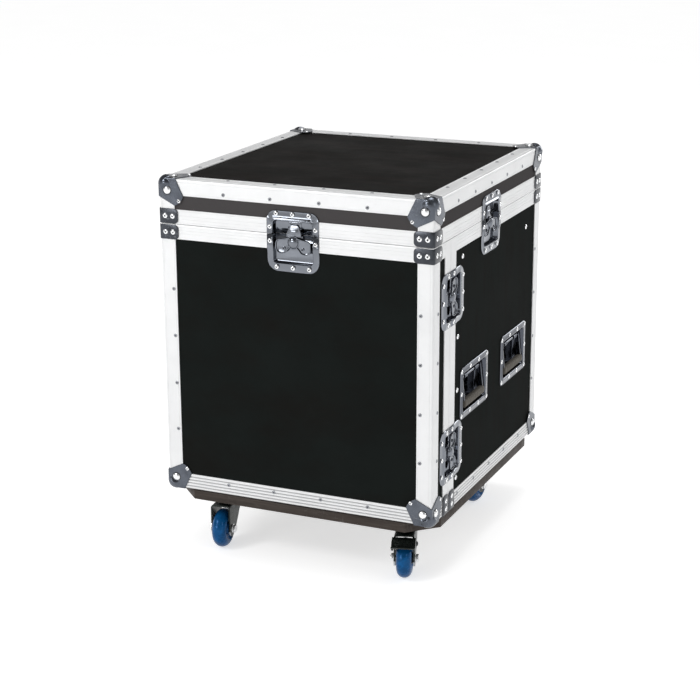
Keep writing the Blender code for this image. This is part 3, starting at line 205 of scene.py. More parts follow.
class Form:
    """A mesh that is being shaped. Each method returns the form, so that steps can follow on."""

    def __init__(self) -> None:
        """Starts with nothing."""
        self.bm = bmesh.new()

    def block(self, x: Span, y: Span, z: Span) -> Form:
        """Adds a box between three low and high pairs."""
        size = [high - low for low, high in (x, y, z)]
        middle = [(low + high) / 2 for low, high in (x, y, z)]
        place = Matrix.Translation(middle) @ Matrix.Diagonal((*size, 1))
        bmesh.ops.create_cube(self.bm, size=1, matrix=place)
        return self

    def prism(self, outline: Sequence[Point], low: float, high: float) -> Form:
        """Adds a flat outline in x and y, extruded along z."""
        face = self.bm.faces.new([self.bm.verts.new((x, y, low)) for x, y in outline])
        raised = bmesh.ops.extrude_face_region(self.bm, geom=[face])["geom"]
        top = [item for item in raised if isinstance(item, bmesh.types.BMVert)]
        bmesh.ops.translate(self.bm, verts=top, vec=(0, 0, high - low))
        return self

    def cone(self, radius: float, low: float, high: float, steps: int, top: float = -1) -> Form:
        """Adds a cylinder along z, or a cone where top gives another radius."""
        bmesh.ops.create_cone(
            self.bm,
            cap_ends=True,
            segments=steps,
            radius1=radius,
            radius2=radius if top < 0 else top,
            depth=high - low,
            matrix=Matrix.Translation((0, 0, (low + high) / 2)),
        )
        return self

    def lathe(self, profile: Sequence[Point], steps: int, closed: bool = True) -> Form:
        """Adds a profile of radius and height, spun round z.

        Args:
            profile: The points. A profile that isn't closed starts and ends on the axis.
            steps: Facets round the axis.
            closed: Whether the last point joins the first.

        Returns:
            This form.
        """
        verts = [self.bm.verts.new((radius, 0, height)) for radius, height in profile]
        pairs = list(zip(verts, verts[1:])) + ([(verts[-1], verts[0])] if closed else [])
        edges = [self.bm.edges.new(pair) for pair in pairs]
        bmesh.ops.spin(
            self.bm,
            geom=verts + edges,
            cent=(0, 0, 0),
            axis=(0, 0, 1),
            angle=2 * math.pi,
            steps=steps,
            use_merge=True,
        )
        bmesh.ops.remove_doubles(self.bm, verts=self.bm.verts, dist=MERGE)
        return self

    def loft(self, loops: Sequence[tuple[Sequence[Point], float]], fill: bool = True) -> Form:
        """Adds a skin through outlines at different heights.

        Args:
            loops: Outlines with one number of points, each with its height.
            fill: Whether the last outline is closed with a face.

        Returns:
            This form.
        """
        rings = []
        for outline, height in loops:
            rings.append([self.bm.verts.new((x, y, height)) for x, y in outline])
        for lower, upper in zip(rings, rings[1:]):
            for index in range(len(lower)):
                before = index - 1
                self.bm.faces.new((lower[before], lower[index], upper[index], upper[before]))
        if fill:
            bmesh.ops.contextual_create(self.bm, geom=rings[-1])
        return self

    def cut(self, point: Sequence[float], normal: Sequence[float], close: bool = True) -> Form:
        """Cuts off what lies beyond a plane.

        Args:
            point: A point of the plane.
            normal: Direction of the side that goes.
            close: Whether the cut is closed with faces.

        Returns:
            This form.
        """
        self.score(point, normal, clear=True)
        return self.cap() if close else self

    def score(self, point: Sequence[float], normal: Sequence[float], clear: bool = False) -> Form:
        """Adds edges where a plane crosses the faces, and clears what lies beyond it if asked."""
        geometry = self.bm.verts[:] + self.bm.edges[:] + self.bm.faces[:]
        bmesh.ops.bisect_plane(self.bm, geom=geometry, plane_co=point, plane_no=normal, clear_outer=clear)
        return self

    def soften(self, width: float, segments: int = 2, angle: float = 40, within: Span | None = None) -> Form:
        """Bevels the edges that are sharper than an angle.

        Args:
            width: Width of the bevel.
            segments: Steps across it.
            angle: Smallest angle between two faces, in degrees.
            within: Lowest and highest z of the edges, or all of them.

        Returns:
            This form.
        """
        sharp = []
        for edge in self.bm.edges:
            heights = [vert.co.z for vert in edge.verts]
            inside = within is None or (within[0] <= min(heights) and max(heights) <= within[1])
            if inside and edge.calc_face_angle(0) > math.radians(angle):
                sharp.append(edge)
        return self.bevel(sharp, width, segments)

    def bevel(self, edges: Sequence[bmesh.types.BMEdge], width: float, segments: int) -> Form:
        """Bevels the given edges."""
        bmesh.ops.bevel(
            self.bm,
            geom=edges,
            offset=width,
            offset_type="OFFSET",
            segments=segments,
            profile=0.5,
            affect="EDGES",
            clamp_overlap=True,
            material=-1,
        )
        return self

    def cap(self) -> Form:
        """Closes every open loop with a face."""
        rims = [edge for edge in self.bm.edges if edge.is_boundary]
        bmesh.ops.edgeloop_fill(self.bm, edges=rims)
        return self

    def move(self, matrix: Matrix) -> Form:
        """Moves everything by a matrix."""
        bmesh.ops.transform(self.bm, matrix=matrix, verts=self.bm.verts)
        return self

    def add(self, other: Form, matrix: Matrix | None = None) -> Form:
        """Adds a copy of another form, moved by a matrix."""
        mesh = bpy.data.meshes.new("copy")
        other.bm.to_mesh(mesh)
        if matrix is not None:
            mesh.transform(matrix)
            if matrix.determinant() < 0:
                mesh.flip_normals()
        self.bm.from_mesh(mesh)
        bpy.data.meshes.remove(mesh)
        return self

    def outwards(self, apart: float = MERGE) -> Form:
        """Merges points that are closer than a distance and turns every face outwards."""
        bmesh.ops.remove_doubles(self.bm, verts=self.bm.verts, dist=apart)
        bmesh.ops.recalc_face_normals(self.bm, faces=self.bm.faces)
        return self


@dataclass
class Piece:
    """A finished piece of the object: its mesh, what it rides on and what it stands for."""

    name: str
    body: str
    slot: Slot
    replaces: tuple[str, ...] = ()

    def make(
        self, form: Form, material: Material, wall: float = 0, levels: int = 0
    ) -> bpy.types.Object:
        """Turns a form into an object of the scene.

        Args:
            form: The shape, in the case's frame.
            material: Its material.
            wall: Thickness given to an open skin, or 0.
            levels: Levels of subdivision, or 0.

        Returns:
            The object, which rides on its body.
        """
        if not wall:
            bmesh.ops.recalc_face_normals(form.bm, faces=form.bm.faces)
        mesh = bpy.data.meshes.new(self.name)
        form.bm.to_mesh(mesh)
        form.bm.free()
        mesh.polygons.foreach_set("use_smooth", [True] * len(mesh.polygons))
        mesh.set_sharp_from_angle(angle=SMOOTH_ANGLE)
        mesh.materials.append(material)
        piece = bpy.data.objects.new(self.name, mesh)
        bpy.context.scene.collection.objects.link(piece)
        if wall:
            shell = piece.modifiers.new("wall", "SOLIDIFY")
            shell.thickness = wall
            shell.offset = -1
            shell.use_even_offset = True
        if levels:
            smooth = piece.modifiers.new("smooth", "SUBSURF")
            smooth.levels = levels
            smooth.render_levels = levels
        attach(piece, self.body)
        if self.replaces:
            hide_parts(*self.replaces)
        LOG.info("%s: %d faces on %s", self.name, len(mesh.polygons), self.body)
        return piece


# Finishes


class Graph:
    """Adds nodes to a node tree and joins them."""

    def __init__(self, tree: bpy.types.NodeTree) -> None:
        """Keeps the tree."""
        self.tree = tree

    def add(self, kind: str, **settings: object) -> bpy.types.Node:
        """Adds a node with its settings."""
        node = self.tree.nodes.new(kind)
        for name, value in settings.items():
            setattr(node, name, value)
        return node

    def join(self, source: Socket, target: Socket) -> None:
        """Joins an output to an input."""
        self.tree.links.new(source, target)

    def fill(self, value: Socket | float, target: Socket) -> None:
        """Joins a socket to an input, or writes a number there."""
        if isinstance(value, Socket):
            self.join(value, target)
        else:
            target.default_value = value

    def noise(
        self, vector: Socket, scale: Socket | float, detail: float = 2, rough: float = 0.5
    ) -> Socket:
        """Adds a noise texture and returns its factor."""
        node = self.add("ShaderNodeTexNoise")
        self.fill(scale, node.inputs["Scale"])
        node.inputs["Detail"].default_value = detail
        node.inputs["Roughness"].default_value = rough
        self.join(vector, node.inputs["Vector"])
        return node.outputs["Fac"]

    def stretched(self, vector: Socket, scale: Sequence[float], turn: float = 0) -> Socket:
        """Adds a mapping that stretches and turns coordinates."""
        node = self.add("ShaderNodeMapping")
        node.inputs["Scale"].default_value = scale
        node.inputs["Rotation"].default_value = (turn, turn * 0.7, turn * 1.3)
        self.join(vector, node.inputs["Vector"])
        return node.outputs["Vector"]

    def remap(self, value: Socket, source: Span, target: Span) -> Socket:
        """Adds a clamped change of range."""
        node = self.add("ShaderNodeMapRange")
        for name, number in zip(("From Min", "From Max", "To Min", "To Max"), (*source, *target)):
            node.inputs[name].default_value = number
        self.join(value, node.inputs["Value"])
        return node.outputs["Result"]

    def maths(self, how: str, first: Socket, second: Socket | float) -> Socket:
        """Adds a maths node on a socket and a socket or number."""
        node = self.add("ShaderNodeMath", operation=how)
        self.join(first, node.inputs[0])
        self.fill(second, node.inputs[1])
        return node.outputs["Value"]

    def mix(self, factor: Socket, first: Socket | Colour, second: Socket | Colour) -> Socket:
        """Adds a mix of two colours, each a socket or three numbers."""
        node = self.add("ShaderNodeMix", data_type="RGBA")
        self.join(factor, node.inputs[0])
        for value, socket in ((first, node.inputs[6]), (second, node.inputs[7])):
            self.fill(value if isinstance(value, Socket) else (*value, 1), socket)
        return node.outputs[2]

    def split(self, vector: Socket) -> bpy.types.NodeOutputs:
        """Adds a split of a vector and returns its three parts, by axis."""
        node = self.add("ShaderNodeSeparateXYZ")
        self.join(vector, node.inputs[0])
        return node.outputs

    def upward(self) -> Socket:
        """Returns how far a face looks up, from -1 to 1."""
        return self.split(self.add("ShaderNodeNewGeometry").outputs["Normal"])["Z"]


class Effect(Enum):
    """Effects shared by several finishes."""

    SCRATCHES = "fine_scratches"
    MOTTLE = "cloudy_mottle"
    DRAWN = "drawn_lines"
    DUST = "settled_dust"


def new_group(effect: Effect, inputs: dict[str, float], output: str) -> tuple[Graph, Sequence[Socket]]:
    """Makes an empty node group with named sockets.

    Args:
        effect: The effect that it holds.
        inputs: Its numbers, with their defaults, besides the coordinates.
        output: The name of what it puts out.

    Returns:
        The graph to fill, and the sockets of its input node.
    """
    tree = bpy.data.node_groups.new(effect.value, "ShaderNodeTree")
    tree.interface.new_socket("Coordinates", in_out="INPUT", socket_type="NodeSocketVector")
    for name, default in inputs.items():
        socket = tree.interface.new_socket(name, in_out="INPUT", socket_type="NodeSocketFloat")
        socket.default_value = default
    tree.interface.new_socket(output, in_out="OUTPUT", socket_type="NodeSocketFloat")
    graph = Graph(tree)
    return graph, graph.add("NodeGroupInput").outputs


class EffectShelf:
    """Builds the shared effects once and hands them out."""

    def __init__(self) -> None:
        """Builds the four groups."""
        self.scratches()
        self.mottle()
        self.drawn()
        self.dust()

    def scratches(self) -> None:
        """Thin marks in three directions, broken up by patches."""
        graph, source = new_group(Effect.SCRATCHES, {"Scale": 60, "Amount": 0.5}, "Mask")
        total: Socket | None = None
        for turn, stretch in ((0.3, (1, 14, 3)), (1.4, (3, 1, 16)), (2.5, (15, 2, 1))):
            vector = graph.stretched(source["Coordinates"], stretch, turn)
            line = graph.remap(graph.noise(vector, source["Scale"], 1.5), (0.66, 0.72), (0, 1))
            total = line if total is None else graph.maths("MAXIMUM", total, line)
        patches = graph.remap(graph.noise(source["Coordinates"], 9, 2), (0.48, 0.66), (0, 1))
        broken = graph.maths("MULTIPLY", total, patches)
        mask = graph.maths("MULTIPLY", broken, source["Amount"])
        graph.join(mask, graph.add("NodeGroupOutput").inputs["Mask"])

    def mottle(self) -> None:
        """Soft clouds around nought, from -Amount to Amount."""
        graph, source = new_group(Effect.MOTTLE, {"Scale": 12, "Amount": 0.1}, "Value")
        clouds = graph.noise(source["Coordinates"], source["Scale"], 5, 0.6)
        centred = graph.remap(clouds, (0.3, 0.7), (-1, 1))
        value = graph.maths("MULTIPLY", centred, source["Amount"])
        graph.join(value, graph.add("NodeGroupOutput").inputs["Value"])

    def drawn(self) -> None:
        """Fine lines left by drawing or brushing, as heights from 0 to 1."""
        graph, source = new_group(Effect.DRAWN, {"Scale": 400, "Amount": 1}, "Height")
        total: Socket | None = None
        for stretch in ((0.02, 1, 1), (1, 0.02, 1), (1, 1, 0.02)):
            vector = graph.stretched(source["Coordinates"], stretch)
            lines = graph.noise(vector, source["Scale"], 1)
            total = lines if total is None else graph.maths("ADD", total, lines)
        height = graph.maths("MULTIPLY", graph.maths("MULTIPLY", total, 0.33), source["Amount"])
        graph.join(height, graph.add("NodeGroupOutput").inputs["Height"])

    def dust(self) -> None:
        """A thin veil on faces that look upwards."""
        graph, source = new_group(Effect.DUST, {"Amount": 0.3}, "Mask")
        upward = graph.remap(graph.upward(), (0.5, 1), (0, 1))
        specks = graph.remap(graph.noise(source["Coordinates"], 45, 6, 0.7), (0.42, 0.75), (0.15, 1))
        lying = graph.maths("MULTIPLY", upward, specks)
        mask = graph.maths("MULTIPLY", lying, source["Amount"])
        graph.join(mask, graph.add("NodeGroupOutput").inputs["Mask"])


@dataclass(frozen=True)
class Finish:
    """A finish: what every material of the case has. Subclasses add what is their own."""

    name: str
    colour: Colour
    roughness: float
    metallic: float = 0.0
    mottle: float = 0.02
    mottle_scale: float = 14.0
    scratches: float = 0.3
    scratch_scale: float = 60.0
    scratch_colour: Colour = (0.5, 0.5, 0.5)
    dust: float = 0.1
    grain_scale: float = 900.0
    grain: float = 0.00002
    coat: float = 0.0
    coat_roughness: float = 0.1
    specular: float = 0.5

    def effect(self, graph: Graph, effect: Effect, where: Socket, **values: float) -> Socket:
        """Places a shared effect with this finish's values.

        Args:
            graph: The material's graph.
            effect: Which effect.
            where: The coordinates.
            values: The group's inputs.

        Returns:
            What the effect puts out.
        """
        node = graph.add("ShaderNodeGroup", node_tree=bpy.data.node_groups[effect.value])
        graph.join(where, node.inputs["Coordinates"])
        for name, value in values.items():
            node.inputs[name].default_value = value
        return node.outputs[0]

    def tint(self, graph: Graph, where: Socket) -> Socket:
        """Returns the base colour, before scratches and dust."""
        cloud = self.effect(graph, Effect.MOTTLE, where, Scale=self.mottle_scale, Amount=1)
        factor = graph.remap(cloud, (-1, 1), (0, 1))
        low = tuple(value * (1 - self.mottle * 4) for value in self.colour)
        high = tuple(min(1, value * (1 + self.mottle * 4)) for value in self.colour)
        return graph.mix(factor, low, high)

    def relief(self, graph: Graph, where: Socket) -> Socket:
        """Returns the heights of the surface's fine grain, from 0 to 1."""
        return graph.noise(where, self.grain_scale, 2)

    def build(self) -> Material:
        """Builds the material and returns it."""
        material = bpy.data.materials.new(self.name)
        material.use_nodes = True
        material.diffuse_color = (*self.colour, 1)
        graph = Graph(material.node_tree)
        shader = material.node_tree.nodes["Principled BSDF"]
        where = graph.add("ShaderNodeTexCoord").outputs["Object"]
        sizes = {"Scale": self.scratch_scale, "Amount": self.scratches}
        scratched = self.effect(graph, Effect.SCRATCHES, where, **sizes)
        dusty = self.effect(graph, Effect.DUST, where, Amount=self.dust)
        marked = graph.mix(scratched, self.tint(graph, where), self.scratch_colour)
        graph.join(graph.mix(dusty, marked, (0.42, 0.40, 0.37)), shader.inputs["Base Color"])
        cloud = self.effect(graph, Effect.MOTTLE, where, Scale=self.mottle_scale * 2, Amount=self.mottle * 2)
        sheen = graph.maths("ADD", cloud, self.roughness)
        sheen = graph.maths("ADD", sheen, graph.maths("MULTIPLY", scratched, 0.25))
        sheen = graph.maths("ADD", sheen, graph.maths("MULTIPLY", dusty, 0.5))
        graph.join(sheen, shader.inputs["Roughness"])
        shader.inputs["Metallic"].default_value = self.metallic
        shader.inputs["Coat Weight"].default_value = self.coat
        shader.inputs["Coat Roughness"].default_value = self.coat_roughness
        shader.inputs["Specular IOR Level"].default_value = self.specular
        bump = graph.add("ShaderNodeBump")
        bump.inputs["Strength"].default_value = 1
        bump.inputs["Distance"].default_value = self.grain
        graph.join(self.relief(graph, where), bump.inputs["Height"])
        graph.join(bump.outputs["Normal"], shader.inputs["Normal"])
        return material


@dataclass(frozen=True)
class DrawnMetal(Finish):
    """Metal that was drawn through a die or brushed."""

    line_scale: float = 350.0

    def relief(self, graph: Graph, where: Socket) -> Socket:
        """Returns the heights of the drawn lines."""
        return self.effect(graph, Effect.DRAWN, where, Scale=self.line_scale, Amount=1)


@dataclass(frozen=True)
class Laminate(Finish):
    """Satin phenolic laminate on plywood, with faint streaks from the press and fine pebbling."""

    streak: Colour = (0.012, 0.010, 0.009)
    # rim: a lighter colour for upright walls, a painted sheen standing in for the reflection those walls catch;
    # black leaves it off
    rim: Colour = (0.0, 0.0, 0.0)

    def tint(self, graph: Graph, where: Socket) -> Socket:
        """Returns the near-black colour with its streaks and, if a rim colour is given, that lighter colour on
        upright walls as a painted sheen.
        """
        vector = graph.stretched(where, (3, 40, 6))
        streaks = graph.remap(graph.noise(vector, 1.6, 4, 0.65), (0.45, 0.8), (0, 0.8))
        sheet = graph.mix(streaks, super().tint(graph, where), self.streak)
        if not any(self.rim):
            return sheet
        # Upright faces take the rim colour: painted sheen, lighter wherever the walls stand upright.
        level = graph.maths("ABSOLUTE", graph.upward(), 0.0)
        return graph.mix(graph.remap(level, (0.4, 0.7), (1, 0)), sheet, self.rim)

    def relief(self, graph: Graph, where: Socket) -> Socket:
        """Returns the heights of the pebbling, with a slight waviness of the sheet."""
        pebbles = graph.noise(where, self.grain_scale, 2)
        waves = graph.maths("MULTIPLY", graph.noise(where, 22, 2), 3.0)
        return graph.maths("ADD", pebbles, waves)


@dataclass(frozen=True)
class Plywood(Finish):
    """Stained plywood: long grain on the faces, layers on the edges."""

    dark: Colour = (0.028, 0.021, 0.017)
    layer: float = 0.0026

    def tint(self, graph: Graph, where: Socket) -> Socket:
        """Returns the grain and the layers."""
        vector = graph.stretched(where, (4, 60, 60))
        grain = graph.remap(graph.noise(vector, 2.2, 6, 0.7), (0.35, 0.7), (0, 1))
        band = graph.maths("PINGPONG", graph.split(where)["Z"], self.layer)
        layers = graph.remap(band, (0, self.layer), (0, 0.55))
        return graph.mix(graph.maths("MAXIMUM", grain, layers), self.colour, self.dark)


@dataclass(frozen=True)
class GripRubber(Finish):
    """Moulded rubber with a fine cross-hatch on the grip."""

    pitch: float = 0.0016

    def relief(self, graph: Graph, where: Socket) -> Socket:
        """Returns the heights of the cross-hatch."""
        axes = graph.split(where)
        rows = graph.maths("PINGPONG", graph.maths("ADD", axes["Y"], axes["Z"]), self.pitch)
        columns = graph.maths("PINGPONG", graph.maths("SUBTRACT", axes["Y"], axes["Z"]), self.pitch)
        return graph.maths("MULTIPLY", graph.maths("MAXIMUM", rows, columns), 1 / self.pitch)


LAMINATE = Laminate(
    "satin_laminate", (0.0122, 0.0146, 0.0138), 0.40, mottle=0.03, mottle_scale=5, scratches=0.04,
    scratch_colour=(0.05, 0.05, 0.05), dust=0.004, grain_scale=1300, grain=0.00003, specular=0.002,
)
# The lid's rim colour paints its upright walls lighter than its top: a painted sheen for the light those walls
# reflect.
LID_LAMINATE = Laminate(
    "lid_laminate", (0.0080, 0.0078, 0.0072), 0.38, mottle=0.03, mottle_scale=5, scratches=0.05,
    scratch_colour=(0.06, 0.06, 0.06), dust=0.004, grain_scale=1300, grain=0.00003, specular=0.002,
    streak=(0.018, 0.013, 0.012), rim=(0.078, 0.073, 0.074),
)
ALUMINIUM = DrawnMetal(
    "anodised_extrusion", (0.80, 0.805, 0.81), 0.42, 0.5, mottle=0.010, scratches=0.14,
    scratch_scale=45, scratch_colour=(0.62, 0.62, 0.62), dust=0.04, grain=0.00002,
)
# A darker copy of the aluminium for the beds of the ribs' grooves: painted shade in the grooves.
GROOVE_SHADE = replace(ALUMINIUM, name="painted_groove_shade", colour=(0.40, 0.40, 0.41), metallic=0.3)
BRIGHT = Finish(
    "bright_nickel_plate", (0.175, 0.187, 0.210), 0.12, 1.0, mottle=0.03, scratches=0.25,
    scratch_scale=110, scratch_colour=(0.40, 0.42, 0.46), dust=0.02, grain_scale=420, grain=0.00005,
)
# A darker copy of the nickel plate for the handles on the side panels: painted shade for the sides turned from the
# lamps.
SHADED_HANDLE_NICKEL = replace(BRIGHT, name="handle_nickel_plate", colour=(0.080, 0.087, 0.104))
RIVET = Finish(
    "nickelled_rivet", (0.86, 0.87, 0.88), 0.24, 0.9, mottle=0.02, scratches=0.15,
    scratch_scale=200, dust=0.02, grain_scale=900, grain=0.00001,
)
EDGE_RIVET = Finish(
    "dull_rivet", (0.30, 0.31, 0.33), 0.34, 1.0, mottle=0.04, mottle_scale=90, scratches=0.3,
    scratch_scale=200, dust=0.03, grain_scale=900, grain=0.00002,
)
ZINC = Finish(
    "zinc_plate", (0.100, 0.110, 0.130), 0.24, 1.0, mottle=0.06, mottle_scale=40, scratches=0.5,
    scratch_scale=80, scratch_colour=(0.30, 0.31, 0.33), dust=0.03, grain_scale=420, grain=0.00005,
)
BRACE_ZINC = replace(ZINC, name="brace_zinc", colour=(0.052, 0.056, 0.064), roughness=0.28)
RAIL = Finish(
    "zinc_rail", (0.42, 0.44, 0.46), 0.34, 1.0, mottle=0.05, mottle_scale=30, scratches=0.5,
    scratch_scale=70, dust=0.1, grain_scale=500, grain=0.00003,
)
BLACK = Finish(
    "blackened_zinc", (0.014, 0.019, 0.017), 0.28, 0.6, mottle=0.08, mottle_scale=60, scratches=0.5,
    scratch_scale=120, scratch_colour=(0.20, 0.23, 0.21), dust=0.04, grain_scale=600, grain=0.00005,
)
PLYWOOD = Plywood(
    "stained_birch", (0.068, 0.054, 0.046), 0.62, mottle=0.05, scratches=0.15, dust=0.05,
    grain_scale=300, grain=0.00012, specular=0.25,
)
BLUE = Finish(
    "pearl_blue_tread", (0.002, 0.082, 0.245), 0.26, 0.2, mottle=0.07, mottle_scale=70, scratches=0.10,
    scratch_scale=150, scratch_colour=(0.08, 0.16, 0.28), dust=0.02, grain_scale=700, grain=0.00003,
    coat=0.08, coat_roughness=0.12, specular=0.12,
)
# Besides the bearings, this black also serves as the painted shade in the rivets' holes and round the large rivets.
NYLON = Finish(
    "black_nylon", (0.008, 0.009, 0.011), 0.4, mottle=0.05, scratches=0.1,
    scratch_colour=(0.1, 0.1, 0.1), dust=0.03, grain_scale=1000, grain=0.00004, specular=0.25,
)
RUBBER = GripRubber(
    "moulded_grip", (0.115, 0.104, 0.086), 0.72, mottle=0.04, mottle_scale=50, scratches=0.1,
    scratch_colour=(0.3, 0.29, 0.26), dust=0.08, grain=0.0004,
)


# Aluminium trims

CORNERS = [(x, y) for y in (-1, 1) for x in (-1, 1)]
LATCH_LEVELS = {"lower": BOTTOM + 0.111, "upper": LID_SEAM - 0.1095}
FRAME_LABELS = {Body.CASE: "body", Body.LID: "lid", Body.COVER: "cover"}


def grooved(start: float, end: float, grooves: Sequence[tuple[float, float, float]]) -> list[Point]:
    """Returns points along a face from start to end, with shallow grooves.

    Args:
        start: Where the face starts.
        end: Where it ends.
        grooves: Middle, width and depth of each groove.

    Returns:
        Pairs of place and depth, in order.
    """
    way = 1 if end > start else -1
    points = [(start, 0.0)]
    for middle, width, depth in sorted(grooves, reverse=way < 0):
        near, far = middle - way * width / 2, middle + way * width / 2
        slope = way * width * 0.2
        points += [(near, 0.0), (near + slope, depth), (far - slope, depth), (far, 0.0)]
    return points + [(end, 0.0)]


def mark_grooves(form: Form, wall: float) -> None:
    """Gives material 1 to the beds of grooves in the outer faces, which look towards -x and -y: a darker aluminium
    there is painted shade in the grooves.
    """
    for face in form.bm.faces:
        middle, normal = face.calc_center_median(), face.normal
        on_first = normal.x < -0.7 and 0.0001 < middle.x < wall
        on_second = normal.y < -0.7 and 0.0001 < middle.y < wall
        face.material_index = int(on_first or on_second)


@dataclass
class EdgeTrims:
    """Double-angle extrusions along the outer edges of the three boxes."""

    leg: float = 0.030
    wall: float = WALL
    arris: float = 0.0025
    corner: float = 0.031
    overlap: float = 0.008
    seam_leg: float = 0.0278
    ribs: int = 4
    rib_pitch: float = 0.0060
    rib: Point = (0.0026, 0.0011)
    line: Point = (0.0011, 0.0004)
    line_places: Point = (0.0055, 0.0270)

    def section(self, ribbed: bool) -> list[Point]:
        """Returns the section: x runs in from the ribbed face, y in from the other."""
        fine = [(place, *self.line) for place in self.line_places]
        first_rib = (self.leg - (self.ribs - 1) * self.rib_pitch) / 2
        ribs = [(first_rib + index * self.rib_pitch, *self.rib) for index in range(self.ribs)]
        first = grooved(self.leg, self.arris, ribs if ribbed else fine)
        second = grooved(self.arris, self.leg, fine)
        bend = arc((self.arris, self.arris), self.arris, 180, 270, 4)[1:-1]
        outline = [(depth, place) for place, depth in first] + bend
        outline += [(place, depth) for place, depth in second]
        return outline + [(self.leg, self.wall), (self.wall, self.wall), (self.wall, self.leg)]

    def length(
        self,
        start: Sequence[float],
        first_in: Vector,
        second_in: Vector,
        run: Vector,
        size: float,
        ribbed: bool = False,
    ) -> tuple[Form, Matrix]:
        """Returns a length of extrusion and where it goes.

        Args:
            start: A point on the outer edge.
            first_in: Inward direction of the ribbed face.
            second_in: Inward direction of the other face.
            run: Direction along the edge.
            size: The length.
            ribbed: Whether it has ribs.

        Returns:
            The form in its own frame, and the matrix to the case.
        """
        turn = Matrix((first_in, second_in, run)).transposed().to_4x4()
        form = Form().prism(self.section(ribbed), 0, size).outwards()
        if ribbed:
            mark_grooves(form, self.wall)
        return form, Matrix.Translation(start) @ turn

    def box_edges(
        self, level: float, up: int, depths: Span, ribbed: bool, ends: Sequence[int]
    ) -> list[tuple[Form, Matrix]]:
        """Returns the lengths round the top or bottom of a box.

        Args:
            level: Height of the outer face.
            up: 1 for a bottom edge and -1 for a top edge: the way inwards.
            depths: Where the lengths along y start and end.
            ribbed: Whether they have ribs.
            ends: Signs of the faces, -1 front and 1 rear, that have a length across.

        Returns:
            The lengths.
        """
        inward = Z_AXIS * up
        lengths = []
        for end in ends:
            start = (-HALF_WIDTH + self.overlap, end * HALF_DEPTH, level)
            span = 2 * (HALF_WIDTH - self.overlap)
            lengths.append(self.length(start, -end * Y_AXIS, inward, X_AXIS, span, ribbed))
        for side in (-1, 1):
            start = (side * HALF_WIDTH, depths[0], level)
            span = depths[1] - depths[0]
            lengths.append(self.length(start, -side * X_AXIS, inward, Y_AXIS, span, ribbed))
        return lengths

    def posts(self, signs: Iterable[tuple[int, int]], low: float, high: float) -> list[tuple[Form, Matrix]]:
        """Returns the upright lengths at the given corners."""
        found = []
        for x, y in signs:
            start = (x * HALF_WIDTH, y * HALF_DEPTH, low)
            found.append(self.length(start, -x * X_AXIS, -y * Y_AXIS, Z_AXIS, high - low))
        return found

    def build(self, material: Material, groove: Material) -> None:
        """Builds the trims of the lid, the cover and the body."""
        near, far = -HALF_DEPTH + self.corner, HALF_DEPTH - self.corner
        top = TOP - self.corner
        low, high = BOTTOM + self.corner, LID_SEAM - self.seam_leg
        sets = {
            Body.LID: self.box_edges(TOP, -1, (near, far), False, (-1, 1))
            + self.posts(CORNERS, LID_SEAM + self.seam_leg, top),
            Body.COVER: self.box_edges(BOTTOM, 1, (near, COVER_SEAM - self.seam_leg), True, (-1,))
            + self.posts(CORNERS[:2], low, high),
            Body.CASE: self.box_edges(BOTTOM, 1, (COVER_SEAM + self.seam_leg, far), True, (1,))
            + self.posts(CORNERS[2:], low, high),
        }
        for body, lengths in sets.items():
            form = Form()
            for length, place in lengths:
                form.add(length, place)
            label = FRAME_LABELS[body]
            piece = Piece(f"{label}_edge_extrusions", body.value, Slot.ALUMINIUM, (f"{label}_edge_frame",))
            # The second material is the darker groove aluminium, painted shade in the ribs' grooves.
            piece.make(form, material).data.materials.append(groove)


